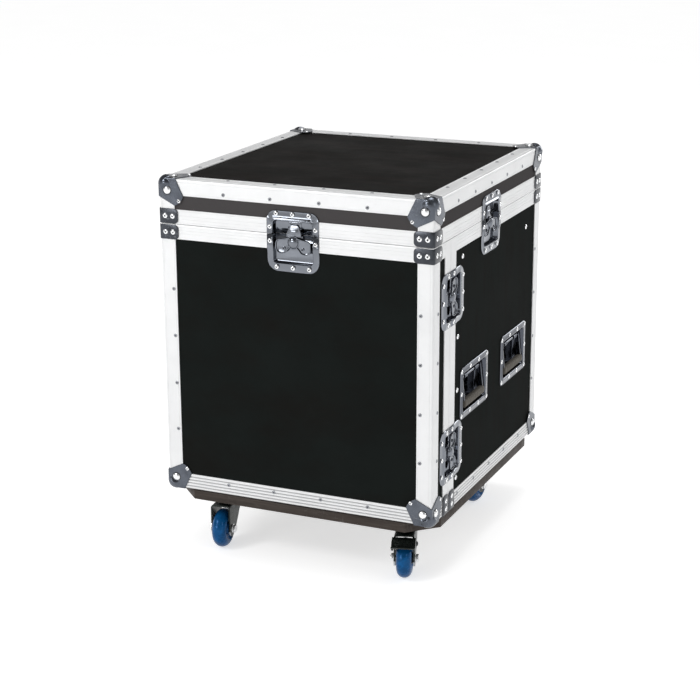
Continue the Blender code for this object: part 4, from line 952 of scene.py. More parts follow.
@dataclass
class SeamTrims:
    """Tongue and groove channels where the lid, the cover and the body meet."""

    leg: float = 0.0275
    wall: float = WALL
    depth: float = 0.0123
    inner_leg: float = 0.016
    inner_wall: float = 0.0012
    half_gap: float = 0.0004
    arris: float = 0.0008
    bed_wall: float = 0.0009
    tongue: Point = (0.0030, 0.0032)
    play: float = 0.0006
    latch_half: float = 0.0452
    line: Point = (0.0011, 0.0004)
    line_levels: tuple[float, ...] = (0.0048, 0.0105, 0.0165, 0.0245)

    def channel(self, groove: bool) -> list[Point]:
        """Returns the section of the outer leg and web: x runs in, y away from the seam."""
        start, web = self.half_gap, self.half_gap + self.wall
        middle, half = self.depth / 2, self.tongue[0] / 2 + self.play
        floor = start + self.tongue[1] + self.play
        mouth: list[Point] = []
        bed: list[Point] = []
        if groove:
            under, side = floor + self.bed_wall, half + self.bed_wall
            low, high = middle - half, middle + half
            mouth = [(low, start), (low, floor), (high, floor), (high, start)]
            bed = [(middle + side, web), (middle + side, under), (middle - side, under), (middle - side, web)]
        inner = self.depth - self.inner_wall
        lines = [(level, *self.line) for level in self.line_levels]
        outer = [(deep, place) for place, deep in grooved(self.leg, start + self.arris, lines)]
        bend = arc((self.arris, start + self.arris), self.arris, 180, 270, 2)[1:]
        inside = [(inner, start), (inner, web), *bed, (self.wall, web), (self.wall, self.leg)]
        return [*outer, *bend, *mouth, *inside]

    def back_leg(self) -> list[Point]:
        """Returns the section of the inner leg."""
        near, far = self.depth - self.inner_wall, self.depth
        return [(near, self.half_gap), (far, self.half_gap), (far, self.inner_leg), (near, self.inner_leg)]

    def tongue_outline(self) -> list[Point]:
        """Returns the section of the tongue that stands on the web."""
        middle, half, high = self.depth / 2, self.tongue[0] / 2, self.half_gap - self.tongue[1]
        foot = self.half_gap
        slim = half * 0.6
        return [(middle - half, foot), (middle - slim, high), (middle + slim, high), (middle + half, foot)]

    def run(
        self,
        form: Form,
        start: Sequence[float],
        inward: Vector,
        away: Vector,
        run: Vector,
        size: float,
        kind: str,
        latches: Sequence[float] = (),
        mitres: str = "",
    ) -> None:
        """Adds a run of channel, left open under each latch.

        Args:
            form: Where it is added.
            start: Where the run starts, on the outer face at the seam.
            inward: Direction into the case.
            away: Direction away from the seam.
            run: Direction along the seam.
            size: Length of the run.
            kind: "groove", "tongue" or "plain".
            latches: Distances from the start to the middle of each latch.
            mitres: "s" for a mitre at the start, "e" for one at the end.

        Returns:
            Nothing.
        """
        turn = Matrix((inward, away, run)).transposed().to_4x4()
        place = Matrix.Translation(start) @ turn
        stops = [0.0]
        for middle in sorted(latches):
            stops += [middle - self.latch_half, middle + self.latch_half]
        stops.append(size)
        pieces = [(self.channel(kind == "groove"), low, high) for low, high in zip(stops[::2], stops[1::2])]
        if kind == "tongue":
            pieces += [(self.tongue_outline(), low, high) for low, high in zip(stops[::2], stops[1::2])]
        pieces.append((self.back_leg(), 0.0, size))
        for section, low, high in pieces:
            length = Form().prism(section, low, high).outwards()
            if "s" in mitres:
                length.cut((0, 0, 0), (1, 0, -1))
            if "e" in mitres:
                length.cut((0, 0, size), (1, 0, 1))
            form.add(length.outwards(), place)

    def across(self, form: Form, end: int, up: int, level: float, kind: str, latch: bool) -> None:
        """Adds the run across the front or rear of a seam at a level."""
        start = (-HALF_WIDTH, end * HALF_DEPTH, level)
        latches = (HALF_WIDTH,) if latch else ()
        self.run(form, start, -end * Y_AXIS, up * Z_AXIS, X_AXIS, 2 * HALF_WIDTH, kind, latches, "se")

    def along(self, form: Form, up: int, depths: Span, kind: str, latch: bool, mitres: str) -> None:
        """Adds the runs along both sides of the lid seam."""
        for side in (-1, 1):
            start = (side * HALF_WIDTH, depths[0], LID_SEAM)
            latches = (-depths[0],) if latch else ()
            size = depths[1] - depths[0]
            self.run(form, start, -side * X_AXIS, up * Z_AXIS, Y_AXIS, size, kind, latches, mitres)

    def upright(self, form: Form, back: int, kind: str) -> None:
        """Adds the runs up both sides and across the bottom of the cover seam."""
        levels = [level - BOTTOM for level in LATCH_LEVELS.values()]
        for side in (-1, 1):
            start = (side * HALF_WIDTH, COVER_SEAM, BOTTOM)
            size = LID_SEAM - self.half_gap - BOTTOM
            self.run(form, start, -side * X_AXIS, back * Y_AXIS, Z_AXIS, size, kind, levels, "s")
        start = (-HALF_WIDTH, COVER_SEAM, BOTTOM)
        self.run(form, start, Z_AXIS, back * Y_AXIS, X_AXIS, 2 * HALF_WIDTH, kind, (), "se")

    def build(self, material: Material) -> None:
        """Builds the channels of the lid, the cover and the body."""
        edge = self.leg + 0.0001
        lid, cover, body = Form(), Form(), Form()
        self.across(lid, -1, 1, LID_SEAM, "plain", True)
        self.across(lid, 1, 1, LID_SEAM, "tongue", True)
        self.along(lid, 1, (-HALF_DEPTH, HALF_DEPTH), "plain", True, "se")
        self.across(cover, -1, -1, LID_SEAM, "plain", True)
        self.along(cover, -1, (-HALF_DEPTH, COVER_SEAM - edge), "plain", False, "s")
        self.upright(cover, -1, "tongue")
        self.across(body, 1, -1, LID_SEAM, "groove", True)
        self.along(body, -1, (COVER_SEAM + edge, HALF_DEPTH), "groove", True, "e")
        self.upright(body, 1, "groove")
        for rides, form in ((Body.LID, lid), (Body.COVER, cover), (Body.CASE, body)):
            label = FRAME_LABELS[rides]
            piece = Piece(f"{label}_seam_channels", rides.value, Slot.ALUMINIUM, (f"{label}_seam_frame",))
            piece.make(form, material)


# Pressed steel corners


@dataclass
class BallCorners:
    """Pressed ball corners, one at each corner of the case."""

    reach: float = 0.052
    root: float = 0.035
    cells: int = 26
    plate: float = 0.0015
    ball: float = 0.017
    inset: float = 0.011
    wall: float = 0.0013
    ball_blend: float = 0.0007
    crown: float = 0.0145
    crown_blend: float = 0.006
    seat_radius: float = 0.0084
    seat_skirt: float = 1.35
    seat_reach: float = 0.0060
    seat_depth: float = 0.0002
    seats: tuple[Point, Point, Point] = ((0.0185, 0.0185), (0.0165, 0.0210), (0.0210, 0.0165))
    ear_rivet: Point = (0.0400, 0.0400)

    def face_plate(self) -> Form:
        """Returns one face of the fitting, flat, with its rounded ear."""
        form = Form()
        half = self.reach / 2
        place = Matrix.Translation((half, half, 0))
        bmesh.ops.create_grid(form.bm, x_segments=self.cells, y_segments=self.cells, size=half, matrix=place)
        root, reach = self.root, self.reach
        slope = Vector((root, root - reach)).normalized()
        form.cut((root, 0, 0), (slope.x, slope.y, 0), close=False)
        form.cut((0, root, 0), (slope.y, slope.x, 0), close=False)
        tip = (reach, reach * 0.93, 0)
        cuts = [(45, tip, 0.0096)]
        for lean, back in ((27, 0.00204), (12, 0.00051)):
            cuts += [(lean, (reach, root, 0), back), (90 - lean, (root, reach, 0), back)]
        for turn, point, back in cuts:
            way = Vector((math.cos(math.radians(turn)), math.sin(math.radians(turn)), 0))
            form.cut(Vector(point) - way * back, way, close=False)
        return form

    def pressed(self) -> Form:
        """Returns the three faces joined and pressed over the ball and the rivet seats."""
        flat = self.face_plate()
        form = Form()
        for turn in FACE_TURNS:
            form.add(flat, turn)
        flat.bm.free()
        form.outwards(10 * MERGE).move(Matrix.Translation([-self.plate] * 3))
        centre = Vector([self.inset] * 3)
        seats = []
        for turn, (first, second) in zip(FACE_TURNS, self.seats):
            seats.append(turn @ Vector((first, second, -self.plate)))
        for vert in form.bm.verts:
            self.press(vert, centre, seats)
        return form

    def press(self, vert: bmesh.types.BMVert, centre: Vector, seats: Sequence[Vector]) -> None:
        """Moves a point onto the ball where the ball stands out, and back at a rivet's seat."""
        flat = vert.co.copy()
        away = flat - centre
        out = self.ball - away.length
        blend = max(eased(out / self.ball_blend), eased((self.crown - max(flat)) / self.crown_blend))
        vert.co = flat.lerp(centre + away.normalized() * self.ball, blend)
        edge = self.seat_radius * self.seat_skirt
        for seat in seats:
            axis = min(range(3), key=lambda index: seat[index])
            across = vert.co - seat
            across[axis] = 0
            if across.length < edge and abs(flat[axis] + self.plate) < self.seat_reach:
                hold = eased((edge - across.length) / (edge - self.seat_radius))
                vert.co[axis] = vert.co[axis] * (1 - hold) + (self.seat_depth - self.plate) * hold

    def rivet(self) -> Form:
        """Returns the large rivet, with z out of its seat. Its skirt and underside get material 1, a black ring
        painted as the shadow round the rivet.
        """
        dome = [
            (0, 0.0036), (0.0036, 0.0032), (0.0062, 0.0020), (0.0074, 0.0004), (0.0086, 0.0002),
            (0.0086, -0.0006), (0, -0.0006),
        ]
        form = Form().lathe(dome, 24, closed=False).outwards()
        # The black skirt round the dome is a painted shadow ring.
        for face in form.bm.faces:
            middle = face.calc_center_median()
            face.material_index = int(math.hypot(middle.x, middle.y) > 0.0076 or middle.z < 0)
        return form

    def places(self) -> list[tuple[str, Body, Matrix]]:
        """Returns the name, body and place of each corner."""
        found = []
        for x, y in CORNERS:
            for top in (True, False):
                body = Body.LID if top else (Body.COVER if y < 0 else Body.CASE)
                level = TOP if top else BOTTOM
                inward = Matrix.Diagonal((-x, -y, -1 if top else 1, 1))
                place = Matrix.Translation((x * HALF_WIDTH, y * HALF_DEPTH, level)) @ inward
                found.append((f"ball_corner_{'top' if top else 'bottom'}_{corner_name(x, y)}", body, place))
        return found

    def build(self, material: Material) -> None:
        """Builds the eight corners."""
        pressed = self.pressed()
        for name, body, place in self.places():
            form = Form().add(pressed, place)
            Piece(name, body.value, Slot.ZINC).make(form, material, wall=self.wall, levels=1)
        pressed.bm.free()


@dataclass
class Braces:
    """Two-legged corner braces beside the seams, one on each side of a seam."""

    leg: float = 0.037
    span: Span = (0.0012, 0.0285)
    plate: Span = (-0.0018, -0.0003)
    arris: float = 0.0025
    end_round: float = 0.0075
    rivets: Point = (0.0110, 0.0262)

    def tier(self) -> Form:
        """Returns one brace: its legs run along x and y, and z leads away from the seam."""
        outer, inner = self.plate
        bend = arc((self.arris, self.arris), self.arris - outer, 180, 270, 4)
        inside = arc((self.arris, self.arris), self.arris - inner, 270, 180, 4)
        outline = [(outer, self.leg), *bend, (self.leg, outer), (self.leg, inner), *inside, (inner, self.leg)]
        form = Form().prism(outline, *self.span).outwards()
        ends = []
        for edge in form.bm.edges:
            first, second = (vert.co for vert in edge.verts)
            reach = max(min(first.x, second.x), min(first.y, second.y))
            if abs(first.z - second.z) < MERGE and reach > self.leg - 1e-5:
                ends.append(edge)
        return form.bevel(ends, self.end_round, 5).soften(0.0004, 2, 60)

    def places(self) -> list[tuple[str, Body, Matrix]]:
        """Returns the name, body and place of each brace."""
        found = []

        def note(name: str, body: Body, corner: Sequence[float], *axes: Vector) -> None:
            """Adds one place from its corner and the three directions."""
            found.append((name, body, Matrix.Translation(corner) @ Matrix(axes).transposed().to_4x4()))

        for x, y in CORNERS:
            corner = (x * HALF_WIDTH, y * HALF_DEPTH, LID_SEAM)
            below = Body.COVER if y < 0 else Body.CASE
            note(f"brace_above_{corner_name(x, y)}", Body.LID, corner, -x * X_AXIS, -y * Y_AXIS, Z_AXIS)
            note(f"brace_below_{corner_name(x, y)}", below, corner, -x * X_AXIS, -y * Y_AXIS, -Z_AXIS)
        for x in (-1, 1):
            side = "left" if x < 0 else "right"
            corner = (x * HALF_WIDTH, COVER_SEAM, BOTTOM)
            note(f"brace_cover_{side}", Body.COVER, corner, -x * X_AXIS, Z_AXIS, -Y_AXIS)
            note(f"brace_case_{side}", Body.CASE, corner, -x * X_AXIS, Z_AXIS, Y_AXIS)
        return found

    def build(self, material: Material) -> None:
        """Builds every brace."""
        tier = self.tier()
        for name, body, place in self.places():
            Piece(name, body.value, Slot.ZINC).make(Form().add(tier, place), material)
        tier.bm.free()

    def rivet_places(self) -> list[tuple[Body, Matrix]]:
        """Returns where each brace's four rivets stand."""
        found = []
        height = sum(self.span) / 2
        for _, body, place in self.places():
            for across in self.rivets:
                on_first = frame_from((across, self.plate[0], height), (0, -1, 0))
                on_second = frame_from((self.plate[0], across, height), (-1, 0, 0))
                found += [(body, place @ on_first), (body, place @ on_second)]
        return found


def frame_from(point: Sequence[float], normal: Sequence[float]) -> Matrix:
    """Returns a frame at a point whose z axis is a normal."""
    turn = Vector(normal).to_track_quat("Z", "Y").to_matrix().to_4x4()
    return Matrix.Translation(point) @ turn


# Latches


def face_up(form: Form) -> Form:
    """Turns an open skin's faces one way, with its largest face looking along z."""
    form.outwards()
    largest = max(form.bm.faces, key=lambda face: face.calc_area())
    if largest.normal.z < 0:
        bmesh.ops.reverse_faces(form.bm, faces=form.bm.faces)
    return form


def cornered(outline: Sequence[Point], rounds: int = 2) -> list[Point]:
    """Returns a closed outline with its corners cut off again and again, so that it is smooth."""
    points = list(outline)
    for _ in range(rounds):
        smooth: list[Point] = []
        for here, after in zip(points, points[1:] + points[:1]):
            smooth.append((here[0] * 0.75 + after[0] * 0.25, here[1] * 0.75 + after[1] * 0.25))
            smooth.append((here[0] * 0.25 + after[0] * 0.75, here[1] * 0.25 + after[1] * 0.75))
        points = smooth
    return points


def pressed_dish(plate: Sequence[Point], mouth: Sequence[Point], rings: Sequence[Point]) -> Form:
    """Returns a plate with a raised ridge and a pan, as one open skin.

    Args:
        plate: The plate's outline.
        mouth: The pan's outline, with as many points.
        rings: How far each ring stands out from the mouth, and its height, from the ridge to the floor.

    Returns:
        The skin, which still needs its faces turned.
    """
    loops = [(plate, PLAY), (plate, PLATE_EDGE), (grown(plate, -0.0008), PLATE_TOP)]
    return Form().loft(loops + [(grown(mouth, by), height) for by, height in rings])


@dataclass
class ButterflyLatch:
    """A recessed butterfly latch: u runs along the seam, v towards the keeper, n outwards."""

    name: str
    place: Matrix
    dish_body: Body
    keeper_body: Body
    half_width: float = 0.051
    reach: Span = (-0.068, 0.0430)
    corners: Point = (0.022, 0.017)
    mouth_half: float = 0.0385
    mouth: Span = (-0.052, 0.0245)
    mouth_round: float = 0.006
    depth: float = 0.0093
    wall: float = 0.0011
    hub_below: float = 0.014
    half_gap: float = 0.00055
    joggle: Span = (0.0272, 0.0338)
    step: float = -0.0015
    wing_low: float = -0.0030
    droop: Point = (0.0120, 0.10)
    lip_half: float = 0.013
    foot_top: float = -0.0087
    claw_sheet: float = 0.002

    def skin(self) -> Form:
        """Returns the pressed plate and pan of both halves as one open skin."""
        low, high = self.corners
        plate = rounded((-self.half_width, self.half_width), self.reach, (low, low, high, high), 6)
        mouth = rounded((-self.mouth_half, self.mouth_half), self.mouth, (self.mouth_round,) * 4, 6)
        form = pressed_dish(plate, mouth, [
            (0.0032, PLATE_TOP),
            (0.0024, RIDGE_TOP),
            (0.0014, RIDGE_TOP),
            (0.0004, 0.0015),
            (0, 0.0002),
            (-0.0006, -0.0074),
            (-0.0013, 0.0005 - self.depth),
            (-0.0028, -self.depth),
        ])
        near, far = self.joggle
        for level in (near, far):
            for sign in (-1, 1):
                form.score((0, sign * level, 0), (0, sign, 0))
        for vert in form.bm.verts:
            if vert.co.z > -0.0001:
                share = min(1, max(0, (abs(vert.co.y) - near) / (far - near)))
                vert.co.z += self.step * share
        return face_up(form)

    def keeper_parts(self) -> Form:
        """Returns the lip that the claw reaches over, with its two rivets."""
        half, floor, foot_top = self.lip_half, -self.depth, self.foot_top
        lip = [(0.0085, floor), (0.0135, floor), (0.0115, -0.0080), (0.0105, -0.0075), (0.0095, -0.0075)]
        form = Form().prism(lip, -half, half).outwards().soften(0.0004, 2).move(SIDEWAYS)
        foot = Form().prism(rounded((-half, half), (0.0125, 0.0222), (0.003,) * 4), floor, foot_top)
        form.add(foot.outwards().soften(0.0002, 2))
        for side in (-1, 1):
            place = Matrix.Translation((side * 0.0070, 0.0190, foot_top))
            form.add(rivet_form(0.0028, 0.0009), place)
        return form

    def claw(self) -> Form:
        """Returns the sliding claw, in the hub's frame."""
        tail = -self.depth + PLAY
        nose = tail + 0.0034
        top = nose + self.claw_sheet
        plate = rounded((-0.016, 0.016), (-0.016, 0.012), (0.004, 0.004, 0.0005, 0.0005))
        form = Form().prism(plate, tail, tail + self.claw_sheet).outwards().soften(0.0003, 2)
        riser = Form().block((-0.0138, 0.0138), (0.010, 0.012), (tail, top)).soften(0.0004, 2)
        right = [(0.0140, 0.0100), (0.0140, 0.0165), (0.0095, 0.0270), (0.0080, 0.0300), (0.0055, 0.0310)]
        left = [(-across, ahead) for across, ahead in reversed(right)]
        head = [left[-1], *right, *left[:-1]]
        bead = rounded((-0.0085, 0.0085), (0.0145, 0.0235), (0.003,) * 4)
        levels = [(bead, top - 0.0004), (bead, top + 0.0001), (grown(bead, -0.0010), top + 0.0006)]
        raised = Form().loft(levels).cap()
        hook = Form().prism(head, nose, top).outwards().soften(0.0006, 3).add(raised.outwards())
        for vert in hook.bm.verts:
            vert.co.z -= max(0, vert.co.y - self.droop[0]) * self.droop[1]
        return form.add(riser).add(hook)

    def wing(self) -> Form:
        """Returns the butterfly wing with its domed hub, in the hub's frame."""
        lobe = cornered([
            (0.0050, -0.0090), (0.0105, -0.0125), (0.0150, -0.0200), (0.0280, -0.0215), (0.0345, -0.0150),
            (0.0350, -0.0010), (0.0300, 0.0055), (0.0190, 0.0060), (0.0120, 0.0085), (0.0050, 0.0088),
        ], 2)
        rings = [
            (-0.0006, 0), (0, 0.0006), (0, 0.0036), (-0.0004, 0.0041), (-0.0013, 0.0041), (-0.0018, 0.0034),
            (-0.0022, 0.0019), (-0.0030, 0.0015),
        ]
        tray = Form().loft([(grown(lobe, by), self.wing_low + rise) for by, rise in rings]).cap().outwards()
        low, high = -0.0016, -0.0002
        eyelet = [(0.0013, low), (0.0013, high), (0.0020, 0.0003), (0.0029, high), (0.0031, low)]
        tray.add(Form().lathe(eyelet, 14), Matrix.Translation((0.0185, -0.0105, 0)))
        form = Form().add(tray).add(tray, Matrix.Diagonal((-1, 1, 1, 1)))
        under = -0.0034
        profile = [
            (0, 0.0036), (0.0032, 0.0034), (0.0060, 0.0027), (0.0082, 0.0016), (0.0096, 0.0002),
            (0.0100, -0.0012), (0.0106, -0.0016), (0.0112, -0.0010), (0.0120, -0.0010), (0.0124, -0.0015),
            (0.0124, under), (0, under),
        ]
        form.add(Form().lathe(profile, 32, closed=False).outwards())
        eccentric = Form().cone(0.0068, PLAY - self.depth, under, 20).outwards()
        return form.add(eccentric, Matrix.Translation((0, -0.003, 0)))

    def build(self, bright: Material) -> None:
        """Builds the dish, the keeper, the claw and the wing."""
        hub = self.place @ Matrix.Translation((0, -self.hub_below, 0))
        skin = self.skin()
        dish = Form().add(skin).cut((0, -self.half_gap, 0), (0, 1, 0), close=False)
        keeper = Form().add(skin).cut((0, self.half_gap, 0), (0, -1, 0), close=False)
        skin.bm.free()
        fixed, held = self.dish_body.value, self.keeper_body.value
        stem = self.name
        claw, wing = f"{stem}_claw", f"{stem}_wing"
        for name, body, replaced, form, place, wall in (
            ("pan", fixed, (f"{stem}_dish",), dish, self.place, self.wall),
            ("keeper_pan", held, (), keeper, self.place, self.wall),
            ("keeper_lip", held, (), self.keeper_parts(), self.place, 0),
            ("hook", claw, (claw,), self.claw(), hub, 0),
            ("butterfly", wing, (wing,), self.wing(), hub, 0),
        ):
            Piece(f"{stem}_{name}", body, Slot.BRIGHT, replaced).make(form.move(place), bright, wall=wall)

    def rivet_places(self) -> list[tuple[Body, Matrix]]:
        """Returns where the rivets of both halves stand."""
        found = []
        spots = [(side * 0.0446, v) for side in (-1, 1) for v in (-0.0131, 0.0128)]
        spots += [(u, v) for v in (-0.0597, 0.0376) for u in (-0.0321, 0, 0.0321)]
        for u, v in spots:
            body = self.keeper_body if v > 0 else self.dish_body
            found.append((body, self.place @ Matrix.Translation((u, v, PLATE_TOP))))
        return found


def rivet_form(radius: float, height: float, steps: int = 10) -> Form:
    """Returns a tubular rivet's head in a few dozen faces. Material 1 is a black disc over the hole of its shank,
    painted shade for the hole's depth.
    """
    crown = [(0, 0.20), (0.30, 0.22), (0.42, 0.98), (0.70, 0.86), (1, 0.22)]
    profile = [(radius * across, height * up) for across, up in crown] + [(radius, -0.0002), (0, -0.0002)]
    form = Form().lathe(profile, steps, closed=False).outwards()
    # The small black disc in the middle is painted shade standing for the hollow shank.
    for face in form.bm.faces:
        middle = face.calc_center_median()
        face.material_index = int(math.hypot(middle.x, middle.y) < radius * 0.33 and middle.z > 0)
    return form


def latches() -> list[ButterflyLatch]:
    """Returns the eight latches with their places."""
    found = []
    lid = {
        "front": ((0, -HALF_DEPTH, LID_SEAM), X_AXIS, Body.COVER),
        "right": ((HALF_WIDTH, 0, LID_SEAM), Y_AXIS, Body.CASE),
        "rear": ((0, HALF_DEPTH, LID_SEAM), -X_AXIS, Body.CASE),
        "left": ((-HALF_WIDTH, 0, LID_SEAM), -Y_AXIS, Body.CASE),
    }
    for name, (origin, along, dish) in lid.items():
        found.append(ButterflyLatch(f"lid_latch_{name}", frame_at(origin, along, Z_AXIS), dish, Body.LID))
    for name, level in LATCH_LEVELS.items():
        for side, sign in (("right", 1), ("left", -1)):
            place = frame_at((sign * HALF_WIDTH, COVER_SEAM, level), sign * Z_AXIS, -Y_AXIS)
            found.append(ButterflyLatch(f"cover_latch_{side}_{name}", place, Body.CASE, Body.COVER))
    return found


# Handles


@dataclass
class SprungHandle:
    """A drop handle in a recessed dish: u runs along the grip, v up and n out of the panel."""

    name: str
    place: Matrix
    half: Point = (0.0745, 0.0495)
    corner: float = 0.010
    mouth: Point = (0.060, 0.037)
    mouth_round: float = 0.006
    depth: float = 0.020
    wall: float = 0.0011
    pivot: Point = (0.025, -0.008)
    pin: float = 0.0030
    arm: Point = (0.004, 0.008)
    grip: tuple[float, float, float] = (0.104, 0.0145, 0.0130)
    grip_at: Point = (-0.0485, 0.0060)
    coil: Point = (0.0044, 0.0008)
    coil_turns: int = 8
    coil_at: float = 0.028
    ribs: int = 8
    rivets: Point = (0.0682, 0.0225)

    def skin(self) -> Form:
        """Returns the pressed dish as an open skin."""
        (wide, tall), (deep, high) = self.half, self.mouth
        plate = rounded((-wide, wide), (-tall, tall), (self.corner,) * 4, 6)
        mouth = rounded((-deep, deep), (-high, high), (self.mouth_round,) * 4, 6)
        return face_up(pressed_dish(plate, mouth, [
            (0.0050, PLATE_TOP),
            (0.0042, RIDGE_TOP),
            (0.0022, RIDGE_TOP),
            (0.0008, 0.0016),
            (0, -0.0002),
            (-0.0010, -0.0170),
            (-0.0022, -0.0192),
            (-0.0048, -self.depth),
        ]))

    def arms(self) -> Form:
        """Returns the two arms, the pin and its springs, in the pin's frame."""
        slope = Vector(self.grip_at).normalized()
        normal = Vector((-slope.y, slope.x)) * (self.arm[1] / 2)
        end = Vector(self.grip_at) + slope * 0.001
        first = math.degrees(math.atan2(normal.y, normal.x))
        bend = arc((0, 0), self.arm[1] * 0.62, first, first + 180, 10)
        outline = [tuple(end + normal), *bend, tuple(end - normal)]
        form = Form()
        for side in (-1, 1):
            middle = side * (self.grip[0] / 2 - self.arm[0] / 2 - 0.0005)
            low, high = middle - self.arm[0] / 2, middle + self.arm[0] / 2
            form.add(Form().prism(outline, low, high).outwards().soften(0.0007, 2, 60), SIDEWAYS)
        reach = self.mouth[0] + 0.0009
        form.add(Form().cone(self.pin, -reach, reach, 16).outwards(), SIDEWAYS)
        for side in (-1, 1):
            form.add(self.spring(), Matrix.Translation((side * self.coil_at, 0, 0)) @ SIDEWAYS)
        return form

    def spring(self) -> Form:
        """Returns a coil of wire round z."""
        form = Form()
        radius, wire = self.coil
        ring = Matrix.Translation((radius, 0, -self.coil_turns * wire)) @ Matrix.Rotation(math.pi / 2, 4, "X")
        bmesh.ops.create_circle(form.bm, cap_ends=True, radius=wire, segments=6, matrix=ring)
        steps = 12 * self.coil_turns
        rise = Vector((0, 0, 2 * wire * 1.12 * self.coil_turns / steps))
        geometry = form.bm.verts[:] + form.bm.edges[:] + form.bm.faces[:]
        bmesh.ops.spin(
            form.bm, geom=geometry, cent=(0, 0, 0), axis=(0, 0, 1), dvec=rise,
            angle=2 * math.pi * self.coil_turns, steps=steps, use_merge=False,
        )
        return form.outwards()

    def rubber(self) -> Form:
        """Returns the moulded grip, in the pin's frame."""
        length, height, thick = self.grip
        section = rounded((-height / 2, height / 2), (-thick / 2, thick / 2), (thick * 0.36,) * 4, 5)
        half = length / 2
        stops = [(-0.0022, -half), (-0.0007, -half + 0.0006), (0, -half + 0.0020)]
        for index in range(self.ribs + 1):
            middle = -half + 0.012 + index * (length - 0.024) / self.ribs
            stops += [(0, middle - 0.0016), (-0.0005, middle - 0.0008)]
            stops += [(-0.0005, middle + 0.0008), (0, middle + 0.0016)]
        stops += [(0, half - 0.0020), (-0.0007, half - 0.0006), (-0.0022, half)]
        form = Form().loft([(grown(section, by), at) for by, at in stops]).cap()
        return form.move(Matrix.Translation((0, *self.grip_at)) @ SIDEWAYS)

    def build(self, bright: Material, rubber: Material) -> None:
        """Builds the dish, the arms and the grip."""
        stem = self.name
        dish = self.skin().move(self.place)
        pan = Piece(f"{stem}_pan", Body.CASE.value, Slot.BRIGHT, (f"{stem}_dish",))
        pan.make(dish, bright, wall=self.wall)
        pin = self.place @ Matrix.Translation((0, *self.pivot))
        bail = f"{stem}_bail"
        Piece(f"{stem}_arms", bail, Slot.BRIGHT).make(self.arms().move(pin), bright)
        Piece(f"{stem}_grip", bail, Slot.RUBBER, (bail,)).make(self.rubber().move(pin), rubber)

    def rivet_places(self) -> list[tuple[Body, Matrix]]:
        """Returns where the dish's ten rivets stand."""
        far, near = self.rivets
        spots = [(u, v) for v in (0.0430, -0.0425) for u in (-far, -near, near, far)]
        spots += [(-far, 0), (far, 0)]
        return [(Body.CASE, self.place @ Matrix.Translation((u, v, PLATE_TOP))) for u, v in spots]


def handles() -> list[SprungHandle]:
    """Returns the four handles with their places."""
    found = []
    depths = {"front": COVER_SEAM + 0.1325, "rear": HALF_DEPTH - 0.1465}
    for place_name, depth in depths.items():
        for side, sign in (("right", 1), ("left", -1)):
            origin = (sign * (HALF_WIDTH - SKIN), depth, BOTTOM + 0.2055)
            found.append(SprungHandle(f"handle_{side}_{place_name}", frame_at(origin, sign * Y_AXIS, Z_AXIS)))
    return found


# Casters


